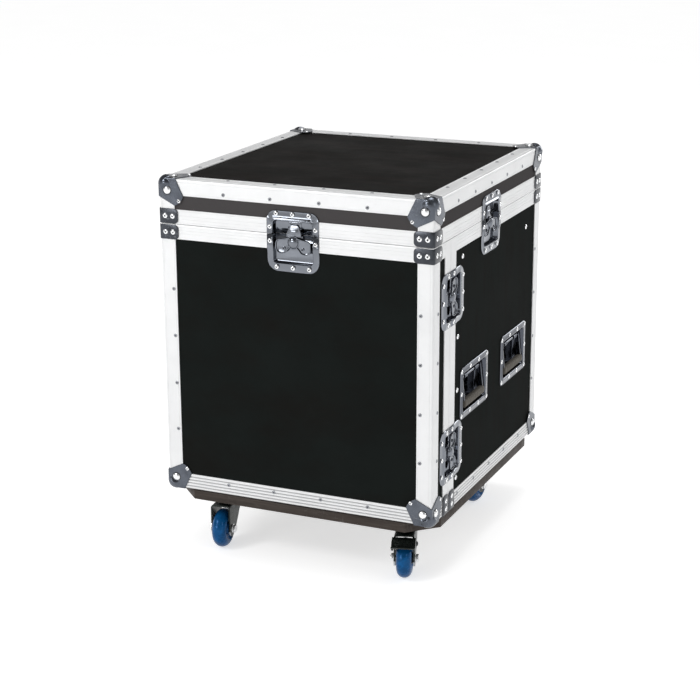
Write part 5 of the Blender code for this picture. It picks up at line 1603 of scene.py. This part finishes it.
@dataclass
class Caster:
    """A swivel caster: z up, the wheel trails towards -y from the swivel axis."""

    name: str
    at: Point
    yaw: float
    braked: bool
    plate: Point = (0.066, 0.090)
    plate_span: Span = (0.1055, 0.1080)
    bolt_inset: float = 0.0095
    race: Span = (0.0955, 0.1055)
    race_radius: float = 0.025
    crown: Span = (0.0860, 0.0952)
    crown_radius: float = 0.021
    kingpin: float = 0.006
    head: float = 0.0875
    inner: float = 0.0165
    wall: float = 0.003
    bend: float = 0.006
    trail: float = 0.035
    wheel: float = 0.0375
    tread: float = 0.029
    hub: Point = (0.011, 0.031)
    axle: float = 0.004
    bolt: float = 0.0075
    pedal_pin: Point = (0.040, 0.068)
    pedal_ribs: int = 4
    rib_step: float = 0.0032
    rib_fall: float = 0.51

    def swivel(self) -> Matrix:
        """Returns the place of the swivel axis, turned as the caster stands."""
        return Matrix.Translation((*self.at, 0)) @ Matrix.Rotation(self.yaw, 4, "Z")

    def top(self) -> Form:
        """Returns the fixed plate with its four bolts, and the ball race."""
        half_x, half_y = self.plate[0] / 2, self.plate[1] / 2
        low, high = self.plate_span
        form = Form().prism(rounded((-half_x, half_x), (-half_y, half_y), (0.008,) * 4), low, high)
        form.outwards().soften(0.0005, 2)
        rim, drop, bore = self.race_radius, self.race[0], self.kingpin + PLAY
        profile = [
            (bore, low), (rim, low), (rim, low - 0.0022), (rim - 0.0006, low - 0.0032),
            (rim - 0.0006, drop + 0.0040), (rim - 0.0018, drop + 0.0014), (rim - 0.0045, drop), (bore, drop),
        ]
        form.add(Form().lathe(profile, 36).outwards())
        across, along = half_x - self.bolt_inset, half_y - self.bolt_inset
        for x in (-across, across):
            for y in (-along, along):
                form.add(bolt_head(0.0062, 0.0042, 0.0080), Matrix.Translation((x, y, low)) @ HALF_TURN)
        return form

    def fork(self) -> Form:
        """Returns the pressed fork with its crown. Faces where the sheet was cut get material 1."""
        inner, outer, head = self.inner, self.inner + self.wall, self.head
        inside = self.bend - self.wall
        outline = [
            (-outer, 0), *arc((-outer + self.bend, head - self.bend), self.bend, 180, 90, 5),
            *arc((outer - self.bend, head - self.bend), self.bend, 90, 0, 5), (outer, 0), (inner, 0),
            *arc((inner - inside, head - self.wall - inside), inside, 0, 90, 4),
            *arc((-inner + inside, head - self.wall - inside), inside, 90, 180, 4), (-inner, 0),
        ]
        channel = Form().prism(outline, -0.080, 0.040)
        channel.move(Matrix(((1, 0, 0, 0), (0, 0, 1, 0), (0, 1, 0, 0), (0, 0, 0, 1)))).outwards()
        ahead, level = self.trail, self.wheel
        side = [
            (ahead + 0.0150, head + 0.002), *arc((ahead + 0.003, level - 0.003), 0.012, 0, -125, 8),
            (ahead - 0.021, level + 0.0022), (ahead - 0.054, head - 0.006), (ahead - 0.055, head + 0.002),
        ]
        for first, second in zip(side, side[1:]):
            way = Vector((second[0] - first[0], second[1] - first[1]))
            channel.cut((0, -first[0], first[1]), (0, way.y, way.x))
        channel.outwards()
        for face in channel.bm.faces:
            sideways, along, up = face.normal
            cut = abs(sideways) < 0.02 and (abs(along) > 0.3 or up < -0.5)
            face.material_index = int(cut and face.calc_area() < 0.0004)
        low, high = self.crown
        rim = self.crown_radius
        shoulder = [(rim, high - 0.0030), (rim - 0.0012, high - 0.0012), (rim - 0.0030, high)]
        crown = [(0, low), (rim, low), *shoulder, (0, high)]
        channel.add(Form().lathe(crown, 32, closed=False).outwards())
        return channel.add(Form().cone(self.kingpin, high - 0.001, self.race[1] - 0.003, 20).outwards())

    def bolt_set(self) -> Form:
        """Returns the axle bolt with its head, washers and nut, along z at the axle."""
        outer = self.inner + self.wall
        form = Form().cone(self.axle, -outer - 0.007, outer + 0.001, 20).outwards()
        axle, wide, thick = self.axle, 0.0086, 0.0012
        profile = [(axle, 0), (wide, 0), (wide, 0.0009), (0.0080, thick), (axle, thick)]
        washer = Form().lathe(profile, 24).outwards()
        bed = outer + thick - 0.0001
        form.add(washer, Matrix.Translation((0, 0, outer)))
        form.add(washer, Matrix.Translation((0, 0, -outer)) @ HALF_TURN)
        form.add(bolt_head(self.bolt, 0.0050, 0), Matrix.Translation((0, 0, bed)))
        form.add(bolt_head(self.bolt, 0.0046, 0), Matrix.Translation((0, 0, -bed)) @ HALF_TURN)
        thread = [(axle - 0.0003, 0), (axle + 0.0004, 0.0003), (axle - 0.0003, 0.0006)]
        for index in range(3):
            ring = Form().lathe(thread, 20).outwards()
            form.add(ring, Matrix.Translation((0, 0, -outer - 0.0064 + index * 0.0005)))
        return form

    def tyre(self) -> Form:
        """Returns the moulded wheel round z, without its bearing."""
        half, rim = self.tread / 2, self.wheel - self.tread / 2
        web, hub = half - 0.0060, self.hub[0]
        flank = [
            (hub, half), (hub + 0.0008, half - 0.0006), (hub + 0.0022, web + 0.0008), (hub + 0.0034, web),
            (rim - 0.0062, web), (rim - 0.0044, web + 0.0009), (rim - 0.0010, half - 0.0022),
            (rim + 0.0012, half - 0.0004),
        ]
        return Form().lathe([*flank, *arc((rim, 0), half, 76, -76, 18), *mirrored(flank)], 64).outwards()

    def bearing(self) -> Form:
        """Returns the hub's bearing with its two raised covers."""
        half, bore = self.hub[1] / 2, self.axle + PLAY
        rim = self.hub[0] - 0.0001
        cover = [
            (bore, half), (bore + 0.0028, half), (bore + 0.0034, half - 0.0006),
            (rim - 0.0026, half - 0.0006), (rim - 0.0020, half), (rim - 0.0004, half - 0.0002), (rim, half - 0.0010),
        ]
        return Form().lathe([*cover, *mirrored(cover)], 32).outwards()

    def pedal(self) -> Form:
        """Returns the wrap-round brake pedal in its pivot's frame, with the wheel towards -y."""
        inner = self.inner + self.wall + 2 * PLAY
        outer = inner + 0.002
        turn = Matrix(((0, 0, 1), (-1, 0, 0), (0, 1, 0))).to_4x4()
        ear = cornered([
            (-0.0090, 0.0040), (-0.0085, -0.0075), (0.0005, -0.0098), (0.0160, -0.0098), (0.0300, -0.0040),
            (0.0390, 0.0030), (0.0360, 0.0060), (0.0140, 0.0166), (0.0030, 0.0105), (-0.0050, 0.0095),
        ], 1)
        form = Form()
        dome = [(0, 0.0030), (0.0028, 0.0026), (0.0044, 0.0012), (0.0046, 0), (0, 0)]
        for side in (-1, 1):
            low, high = sorted((side * inner, side * outer))
            form.add(Form().prism(ear, low, high).outwards().soften(0.0005, 2, 60), turn)
            place = Matrix.Translation((side * outer, 0, 0)) @ Matrix.Rotation(side * math.pi / 2, 4, "Y")
            form.add(Form().lathe(dome, 16, closed=False).outwards(), place)
        tread = [
            (0.0115, 0.0142), (0.0135, 0.0166), (0.0200, 0.0144), (0.0215, 0.0154), (0.0235, 0.0130),
            (0.0360, 0.0066), (0.0400, 0.0068), (0.0435, 0.0094), (0.0448, 0.0078), (0.0420, 0.0048),
            (0.0370, 0.0036),
        ]
        form.add(Form().prism(tread, -outer, outer).outwards().soften(0.0004, 2, 50), turn)
        half, thick = outer - 0.003, 0.0005
        for index in range(self.pedal_ribs):
            back = index * self.rib_step
            ahead, rise = 0.0250 + back, 0.0122 - back * self.rib_fall
            rib = Form().block((-half, half), (-ahead - thick, -ahead + thick), (rise, rise + 0.0011))
            form.add(rib.soften(0.0002, 1))
        return form

    def build(
        self, black: Material, bright: Material, blue: Material, nylon: Material, cut: Material,
    ) -> None:
        """Builds the top plate, fork, bolt, wheel, bearing and pedal."""
        stem, swivel = self.name, self.swivel()
        fork, wheel, pedal = (f"{stem}_{part}" for part in ("fork", "wheel", "pedal"))
        hub = Matrix.Translation((0, -self.trail, self.wheel))
        axle = swivel @ hub @ Matrix.Rotation(math.pi / 2, 4, "Y")
        upright = Matrix.Translation((*self.at, 0))
        Piece(f"{stem}_top_plate", Body.CASE.value, Slot.BLACK).make(self.top().move(upright), black)
        yoke = Piece(f"{stem}_yoke", fork, Slot.BLACK, (fork,)).make(self.fork().move(swivel), black)
        yoke.data.materials.append(cut)
        Piece(f"{stem}_axle_bolt", fork, Slot.BRIGHT).make(self.bolt_set().move(axle), bright)
        Piece(f"{stem}_tyre", wheel, Slot.BLUE, (wheel,)).make(self.tyre().move(axle), blue)
        Piece(f"{stem}_bearing", wheel, Slot.BLACK).make(self.bearing().move(axle), nylon)
        if self.braked:
            pivot = swivel @ Matrix.Translation((0, -self.pedal_pin[0], self.pedal_pin[1]))
            Piece(f"{stem}_brake", pedal, Slot.BLACK, (pedal,)).make(self.pedal().move(pivot), black)


def bolt_head(radius: float, height: float, washer: float) -> Form:
    """Returns a hexagon head along z with its washer, if that has a radius."""
    form = Form().cone(radius, 0, height, 6).outwards().soften(0.0004, 2, 50)
    if washer:
        disc = [(0, 0), (washer, 0), (washer, 0.0008), (0, 0.0008)]
        form.add(Form().lathe(disc, 20, closed=False).outwards())
    return form


def casters() -> list[Caster]:
    """Returns the four casters with their places."""
    across, along = HALF_WIDTH - CASTER_INSET[0], HALF_DEPTH - CASTER_INSET[1]
    found = []
    for (x, y), yaw in zip(CORNERS, CASTER_YAWS):
        name, at = f"caster_{corner_name(x, y)}", (x * across, y * along)
        found.append(Caster(name, at, math.radians(yaw), x != y))
    return found


@dataclass
class CasterBoard:
    """The plywood board between the case and its casters, with its corners cut off."""

    inset: float = 0.002
    notch: float = 0.050
    span: Span = (0.1080, 0.1260)

    def build(self, plywood: Material) -> None:
        """Builds the board."""
        x, y = HALF_WIDTH - self.inset, HALF_DEPTH - self.inset
        across, along = x - self.notch, y - self.notch
        outline = [
            (-across, -y), (across, -y), (x, -along), (x, along),
            (across, y), (-across, y), (-x, along), (-x, -along),
        ]
        form = Form().prism(outline, *self.span).outwards().soften(0.0012, 2)
        Piece("plywood_board", Body.CASE.value, Slot.PLYWOOD, ("caster_board",)).make(form, plywood)


# Rivets and screws


@dataclass
class Fasteners:
    """Rivets along the extrusions and screws of the rack rails."""

    radius: float = 0.0036
    height: float = 0.0010
    lid_front: tuple[float, ...] = (0.1303, 0.2231, 0.3186, 0.4110)
    bottom_front: tuple[float, ...] = (0.1273, 0.2211, 0.3163, 0.4104)
    post: tuple[float, ...] = (0.1179, 0.2084, 0.3000, 0.3895)
    lid_side: tuple[float, ...] = (0.1181, 0.2059, 0.2938, 0.3803, 0.4695)
    screws: tuple[Point, ...] = (
        (0.1470, 0.4662), (0.5047, 0.4463), (0.1264, 0.3215), (0.1265, 0.2201), (0.1253, 0.0515),
    )
    lid_drop: float = 0.022
    lid_inset: float = 0.021
    bottom_rise: float = 0.0192
    post_inset: float = 0.0235
    bottom_shift: float = 0.012

    def places(self) -> list[tuple[Body, Matrix]]:
        """Returns where each rivet of the extrusions stands."""
        found: list[tuple[Body, Sequence[float], Sequence[float]]] = []
        inset, low, high = self.post_inset, BOTTOM + self.bottom_rise, TOP - self.lid_drop
        for y in (-1, 1):
            body, face = Body.COVER if y < 0 else Body.CASE, (0, y, 0)
            for across in self.lid_front:
                x = across - HALF_WIDTH
                found.append((Body.LID, (x, y * HALF_DEPTH, high), face))
                found.append((Body.LID, (x, y * (HALF_DEPTH - self.lid_inset), TOP), (0, 0, 1)))
            for across in self.bottom_front:
                found.append((body, (across - HALF_WIDTH, y * HALF_DEPTH, low), face))
            for x in (-1, 1):
                for up in self.post:
                    found.append((body, (x * (HALF_WIDTH - inset), y * HALF_DEPTH, BOTTOM + up), face))
                    found.append((body, (x * HALF_WIDTH, y * (HALF_DEPTH - inset), BOTTOM + up), (x, 0, 0)))
        for x in (-1, 1):
            for deep in self.lid_side:
                y = deep - HALF_DEPTH
                found.append((Body.LID, (x * HALF_WIDTH, y, high), (x, 0, 0)))
                found.append((Body.LID, (x * (HALF_WIDTH - self.lid_inset), y, TOP), (0, 0, 1)))
                found.append((Body.CASE, (x * HALF_WIDTH, y + self.bottom_shift, low), (x, 0, 0)))
        return [(body, frame_from(point, way)) for body, point, way in found]

    def screw_places(self) -> list[tuple[Body, Matrix]]:
        """Returns where the screws of the rack rails stand on the side panels."""
        found = []
        for x in (-1, 1):
            for deep, up in self.screws:
                point = (x * (HALF_WIDTH - SKIN), deep - HALF_DEPTH, BOTTOM + up)
                found.append((Body.CASE, frame_from(point, (x, 0, 0))))
        return found

    def big_places(self, corners: BallCorners) -> list[tuple[Body, Matrix]]:
        """Returns where the large rivets of the ball corners stand."""
        found = []
        for _, body, place in corners.places():
            for turn, (first, second) in zip(FACE_TURNS, corners.seats):
                seat = frame_from((first, second, -corners.plate - 0.0001), (0, 0, -1))
                found.append((body, place @ turn @ seat))
        return found

    def ear_places(self, corners: BallCorners) -> list[tuple[Body, Matrix]]:
        """Returns where the small rivets of the ball corners' ears stand."""
        ear = frame_from((*corners.ear_rivet, -corners.plate), (0, 0, -1))
        return [(body, place @ turn @ ear) for _, body, place in corners.places() for turn in FACE_TURNS]


def set_fasteners(
    name: str, form: Form, places: Sequence[tuple[Body, Matrix]], material: Material, painted_shade: Material,
) -> None:
    """Makes one piece for each body from copies of a fastener.

    Args:
        name: What the pieces are called, after the body's label.
        form: The fastener, with z out of the surface.
        places: Body and place of each.
        material: Their material.
        painted_shade: The black material painted as shade inside their holes and as the shadow ring round the large
            rivets.

    Returns:
        Nothing.
    """
    for body in Body:
        group = Form()
        for rides, place in places:
            if rides is body:
                group.add(form, place)
        if not group.bm.faces:
            group.bm.free()
            continue
        label = "case" if body is Body.CASE else body.value
        piece = Piece(f"{label}_{name}", body.value, Slot.BRIGHT).make(group, material)
        piece.data.materials.append(painted_shade)
    form.bm.free()


# Panels, rails, studio


PANELS = ("bottom_panel", "left_side_panel", "right_side_panel", "rear_panel", "cover_shell")
RAILS = ("front_rail_left", "front_rail_right", "top_rail_left", "top_rail_right")


def dress(names: Iterable[str], material: Material) -> None:
    """Gives CAD nodes a material.

    Args:
        names: The nodes.
        material: What each of their slots gets.

    Returns:
        Nothing.
    """
    for name in names:
        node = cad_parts[name]
        for index in range(len(node.material_slots)):
            node.material_slots[index].material = material
        LOG.info("%s: CAD node dressed in %s", name, material.name)


@dataclass
class Lamp:
    """A soft lamp that looks at the case."""

    name: str
    at: tuple[float, float, float]
    size: Point
    power: float
    aim: tuple[float, float, float] = (0.0, 0.0, 0.4)

    def build(self) -> None:
        """Adds the lamp."""
        light = bpy.data.lights.new(self.name, "AREA")
        light.shape = "RECTANGLE"
        light.size, light.size_y = self.size
        light.energy = self.power
        lamp = bpy.data.objects.new(self.name, light)
        way = Vector(self.aim) - Vector(self.at)
        lamp.location = self.at
        lamp.rotation_euler = way.to_track_quat("-Z", "Y").to_euler()
        bpy.context.scene.collection.objects.link(lamp)


@dataclass
class Studio:
    """A plain pale floor, soft lamps and the camera."""

    camera_at: tuple[float, float, float] = (1.3385, -3.0722, 1.3424)
    azimuth: float = 23.85
    elevation: float = 16.52
    roll: float = -0.243
    lens: float = 91.82
    floor_size: float = 30.0
    floor_white: float = 0.60
    ambient: float = 0.48
    ceiling: float = 0.25
    wall_rise: Span = (0.04, 0.40)

    def camera(self) -> None:
        """Adds the camera at the photograph's angle."""
        data = bpy.data.cameras.new("photo_camera")
        data.lens = self.lens
        data.sensor_width = 36
        data.sensor_fit = "HORIZONTAL"
        data.clip_end = 100
        camera = bpy.data.objects.new("photo_camera", data)
        turn = math.radians(self.azimuth)
        rise = math.radians(self.elevation)
        back = Vector((math.sin(turn) * math.cos(rise), -math.cos(turn) * math.cos(rise), math.sin(rise)))
        right = Vector((math.cos(turn), math.sin(turn), 0))
        up = back.cross(right)
        basis = Matrix((right, up, back)).transposed().to_4x4()
        roll = Matrix.Rotation(math.radians(self.roll), 4, "Z")
        camera.matrix_world = Matrix.Translation(self.camera_at) @ basis @ roll
        bpy.context.scene.collection.objects.link(camera)
        bpy.context.scene.camera = camera

    def seen(self, graph: Graph) -> Socket:
        """Returns 1 for rays from the camera, in reflections and through glass, and 0 for the rest."""
        path = graph.add("ShaderNodeLightPath")
        first = graph.maths("MAXIMUM", path.outputs["Is Camera Ray"], path.outputs["Is Transmission Ray"])
        return graph.maths("MAXIMUM", first, path.outputs["Is Glossy Ray"])

    def floor(self) -> None:
        """Adds the floor: white to the camera and in reflections, apart from the case's shadow."""
        form = Form()
        bmesh.ops.create_grid(form.bm, x_segments=1, y_segments=1, size=self.floor_size)
        mesh = bpy.data.meshes.new("studio_floor")
        form.bm.to_mesh(mesh)
        form.bm.free()
        material = bpy.data.materials.new("floor_paper")
        material.use_nodes = True
        graph = Graph(material.node_tree)
        shader = material.node_tree.nodes["Principled BSDF"]
        where = graph.add("ShaderNodeTexCoord").outputs["Object"]
        tone = graph.remap(graph.noise(where, 3, 2), (0.3, 0.7), (0, 1))
        graph.join(graph.mix(tone, (0.79, 0.79, 0.79), (0.81, 0.81, 0.81)), shader.inputs["Base Color"])
        shader.inputs["Roughness"].default_value = 0.9
        shader.inputs["Specular IOR Level"].default_value = 0.0
        shader.inputs["Emission Color"].default_value = (1, 1, 1, 1)
        glow = graph.remap(self.seen(graph), (0, 1), (0, self.floor_white))
        graph.join(glow, shader.inputs["Emission Strength"])
        mesh.materials.append(material)
        floor = bpy.data.objects.new("studio_floor", mesh)
        bpy.context.scene.collection.objects.link(floor)

    def world(self) -> None:
        """Adds the room's even light; to the camera and in reflections it is white near the horizon and darker
        towards the top.
        """
        world = bpy.data.worlds.new("studio")
        world.use_nodes = True
        graph = Graph(world.node_tree)
        background = world.node_tree.nodes["Background"]
        height = graph.split(graph.add("ShaderNodeTexCoord").outputs["Generated"])["Z"]
        wall = graph.remap(height, self.wall_rise, (1.0, self.ceiling))
        shown = graph.maths("MULTIPLY", wall, self.seen(graph))
        hidden = graph.remap(self.seen(graph), (0, 1), (self.ambient, 0))
        background.inputs["Color"].default_value = (1, 1, 1, 1)
        graph.join(graph.maths("ADD", shown, hidden), background.inputs["Strength"])
        bpy.context.scene.world = world

    def build(self) -> None:
        """Builds the studio."""
        self.camera()
        self.floor()
        self.world()
        for lamp in (
            Lamp("key", (-2.4, -3.2, 3.2), (1.1, 1.1), 52),
            Lamp("fill", (3.4, -1.4, 2.0), (0.9, 1.2), 9),
            Lamp("overhead", (0.2, 0.3, 3.4), (1.3, 1.3), 30),
            Lamp("front_strip", (-1.7, -3.9, 1.35), (1.6, 0.8), 26),
            Lamp("rear_strip", (1.7, 3.9, 1.35), (1.6, 0.8), 22),
        ):
            lamp.build()
        bpy.context.scene.view_settings.view_transform = "Standard"


def main() -> None:
    """Builds the looks around the frame, sub-assembly by sub-assembly."""
    logging.basicConfig(level=logging.INFO, format="%(message)s")
    studio = Studio()
    studio.build()
    laminate, aluminium, bright = LAMINATE.build(), ALUMINIUM.build(), BRIGHT.build()
    shaded_handle_nickel = SHADED_HANDLE_NICKEL.build()
    EdgeTrims().build(aluminium, GROOVE_SHADE.build())
    SeamTrims().build(aluminium)
    zinc, rivet, dull, black = ZINC.build(), RIVET.build(), EDGE_RIVET.build(), BLACK.build()
    corners, braces, fasteners = BallCorners(), Braces(), Fasteners()
    corners.build(zinc)
    braces.build(BRACE_ZINC.build())
    latch_set, handle_set = latches(), handles()
    for latch in latch_set:
        latch.build(bright)
    rubber = RUBBER.build()
    # The handles take the darker nickel copy, painted shade for the side panels.
    for handle in handle_set:
        handle.build(shaded_handle_nickel, rubber)
    blue, nylon, rail = BLUE.build(), NYLON.build(), RAIL.build()
    for caster in casters():
        caster.build(black, rivet, blue, nylon, rail)
    CasterBoard().build(PLYWOOD.build())
    small = [place for item in (*latch_set, *handle_set) for place in item.rivet_places()]
    # Each set's material 1 is the black nylon: painted shade in the rivets' holes and a painted shadow ring round
    # the large rivets.
    for name, form, places, look in (
        ("fitting_rivets", rivet_form(0.0042, 0.0017, 12), small, rivet),
        ("brace_rivets", rivet_form(0.0047, 0.0016, 12), braces.rivet_places(), rivet),
        ("edge_rivets", rivet_form(fasteners.radius, fasteners.height), fasteners.places(), dull),
        ("ear_rivets", rivet_form(0.0036, 0.0016, 12), fasteners.ear_places(corners), rivet),
        ("corner_rivets", corners.rivet(), fasteners.big_places(corners), rivet),
        ("rail_screws", rivet_form(0.0048, 0.0020, 12), fasteners.screw_places(), rivet),
    ):
        set_fasteners(name, form, places, look, nylon)
    dress(PANELS, laminate)
    dress(("lid_shell",), LID_LAMINATE.build())
    dress(RAILS, rail)
    dress(("front_crossbar",), aluminium)


if __name__ == "__main__":
    EffectShelf()
    main()
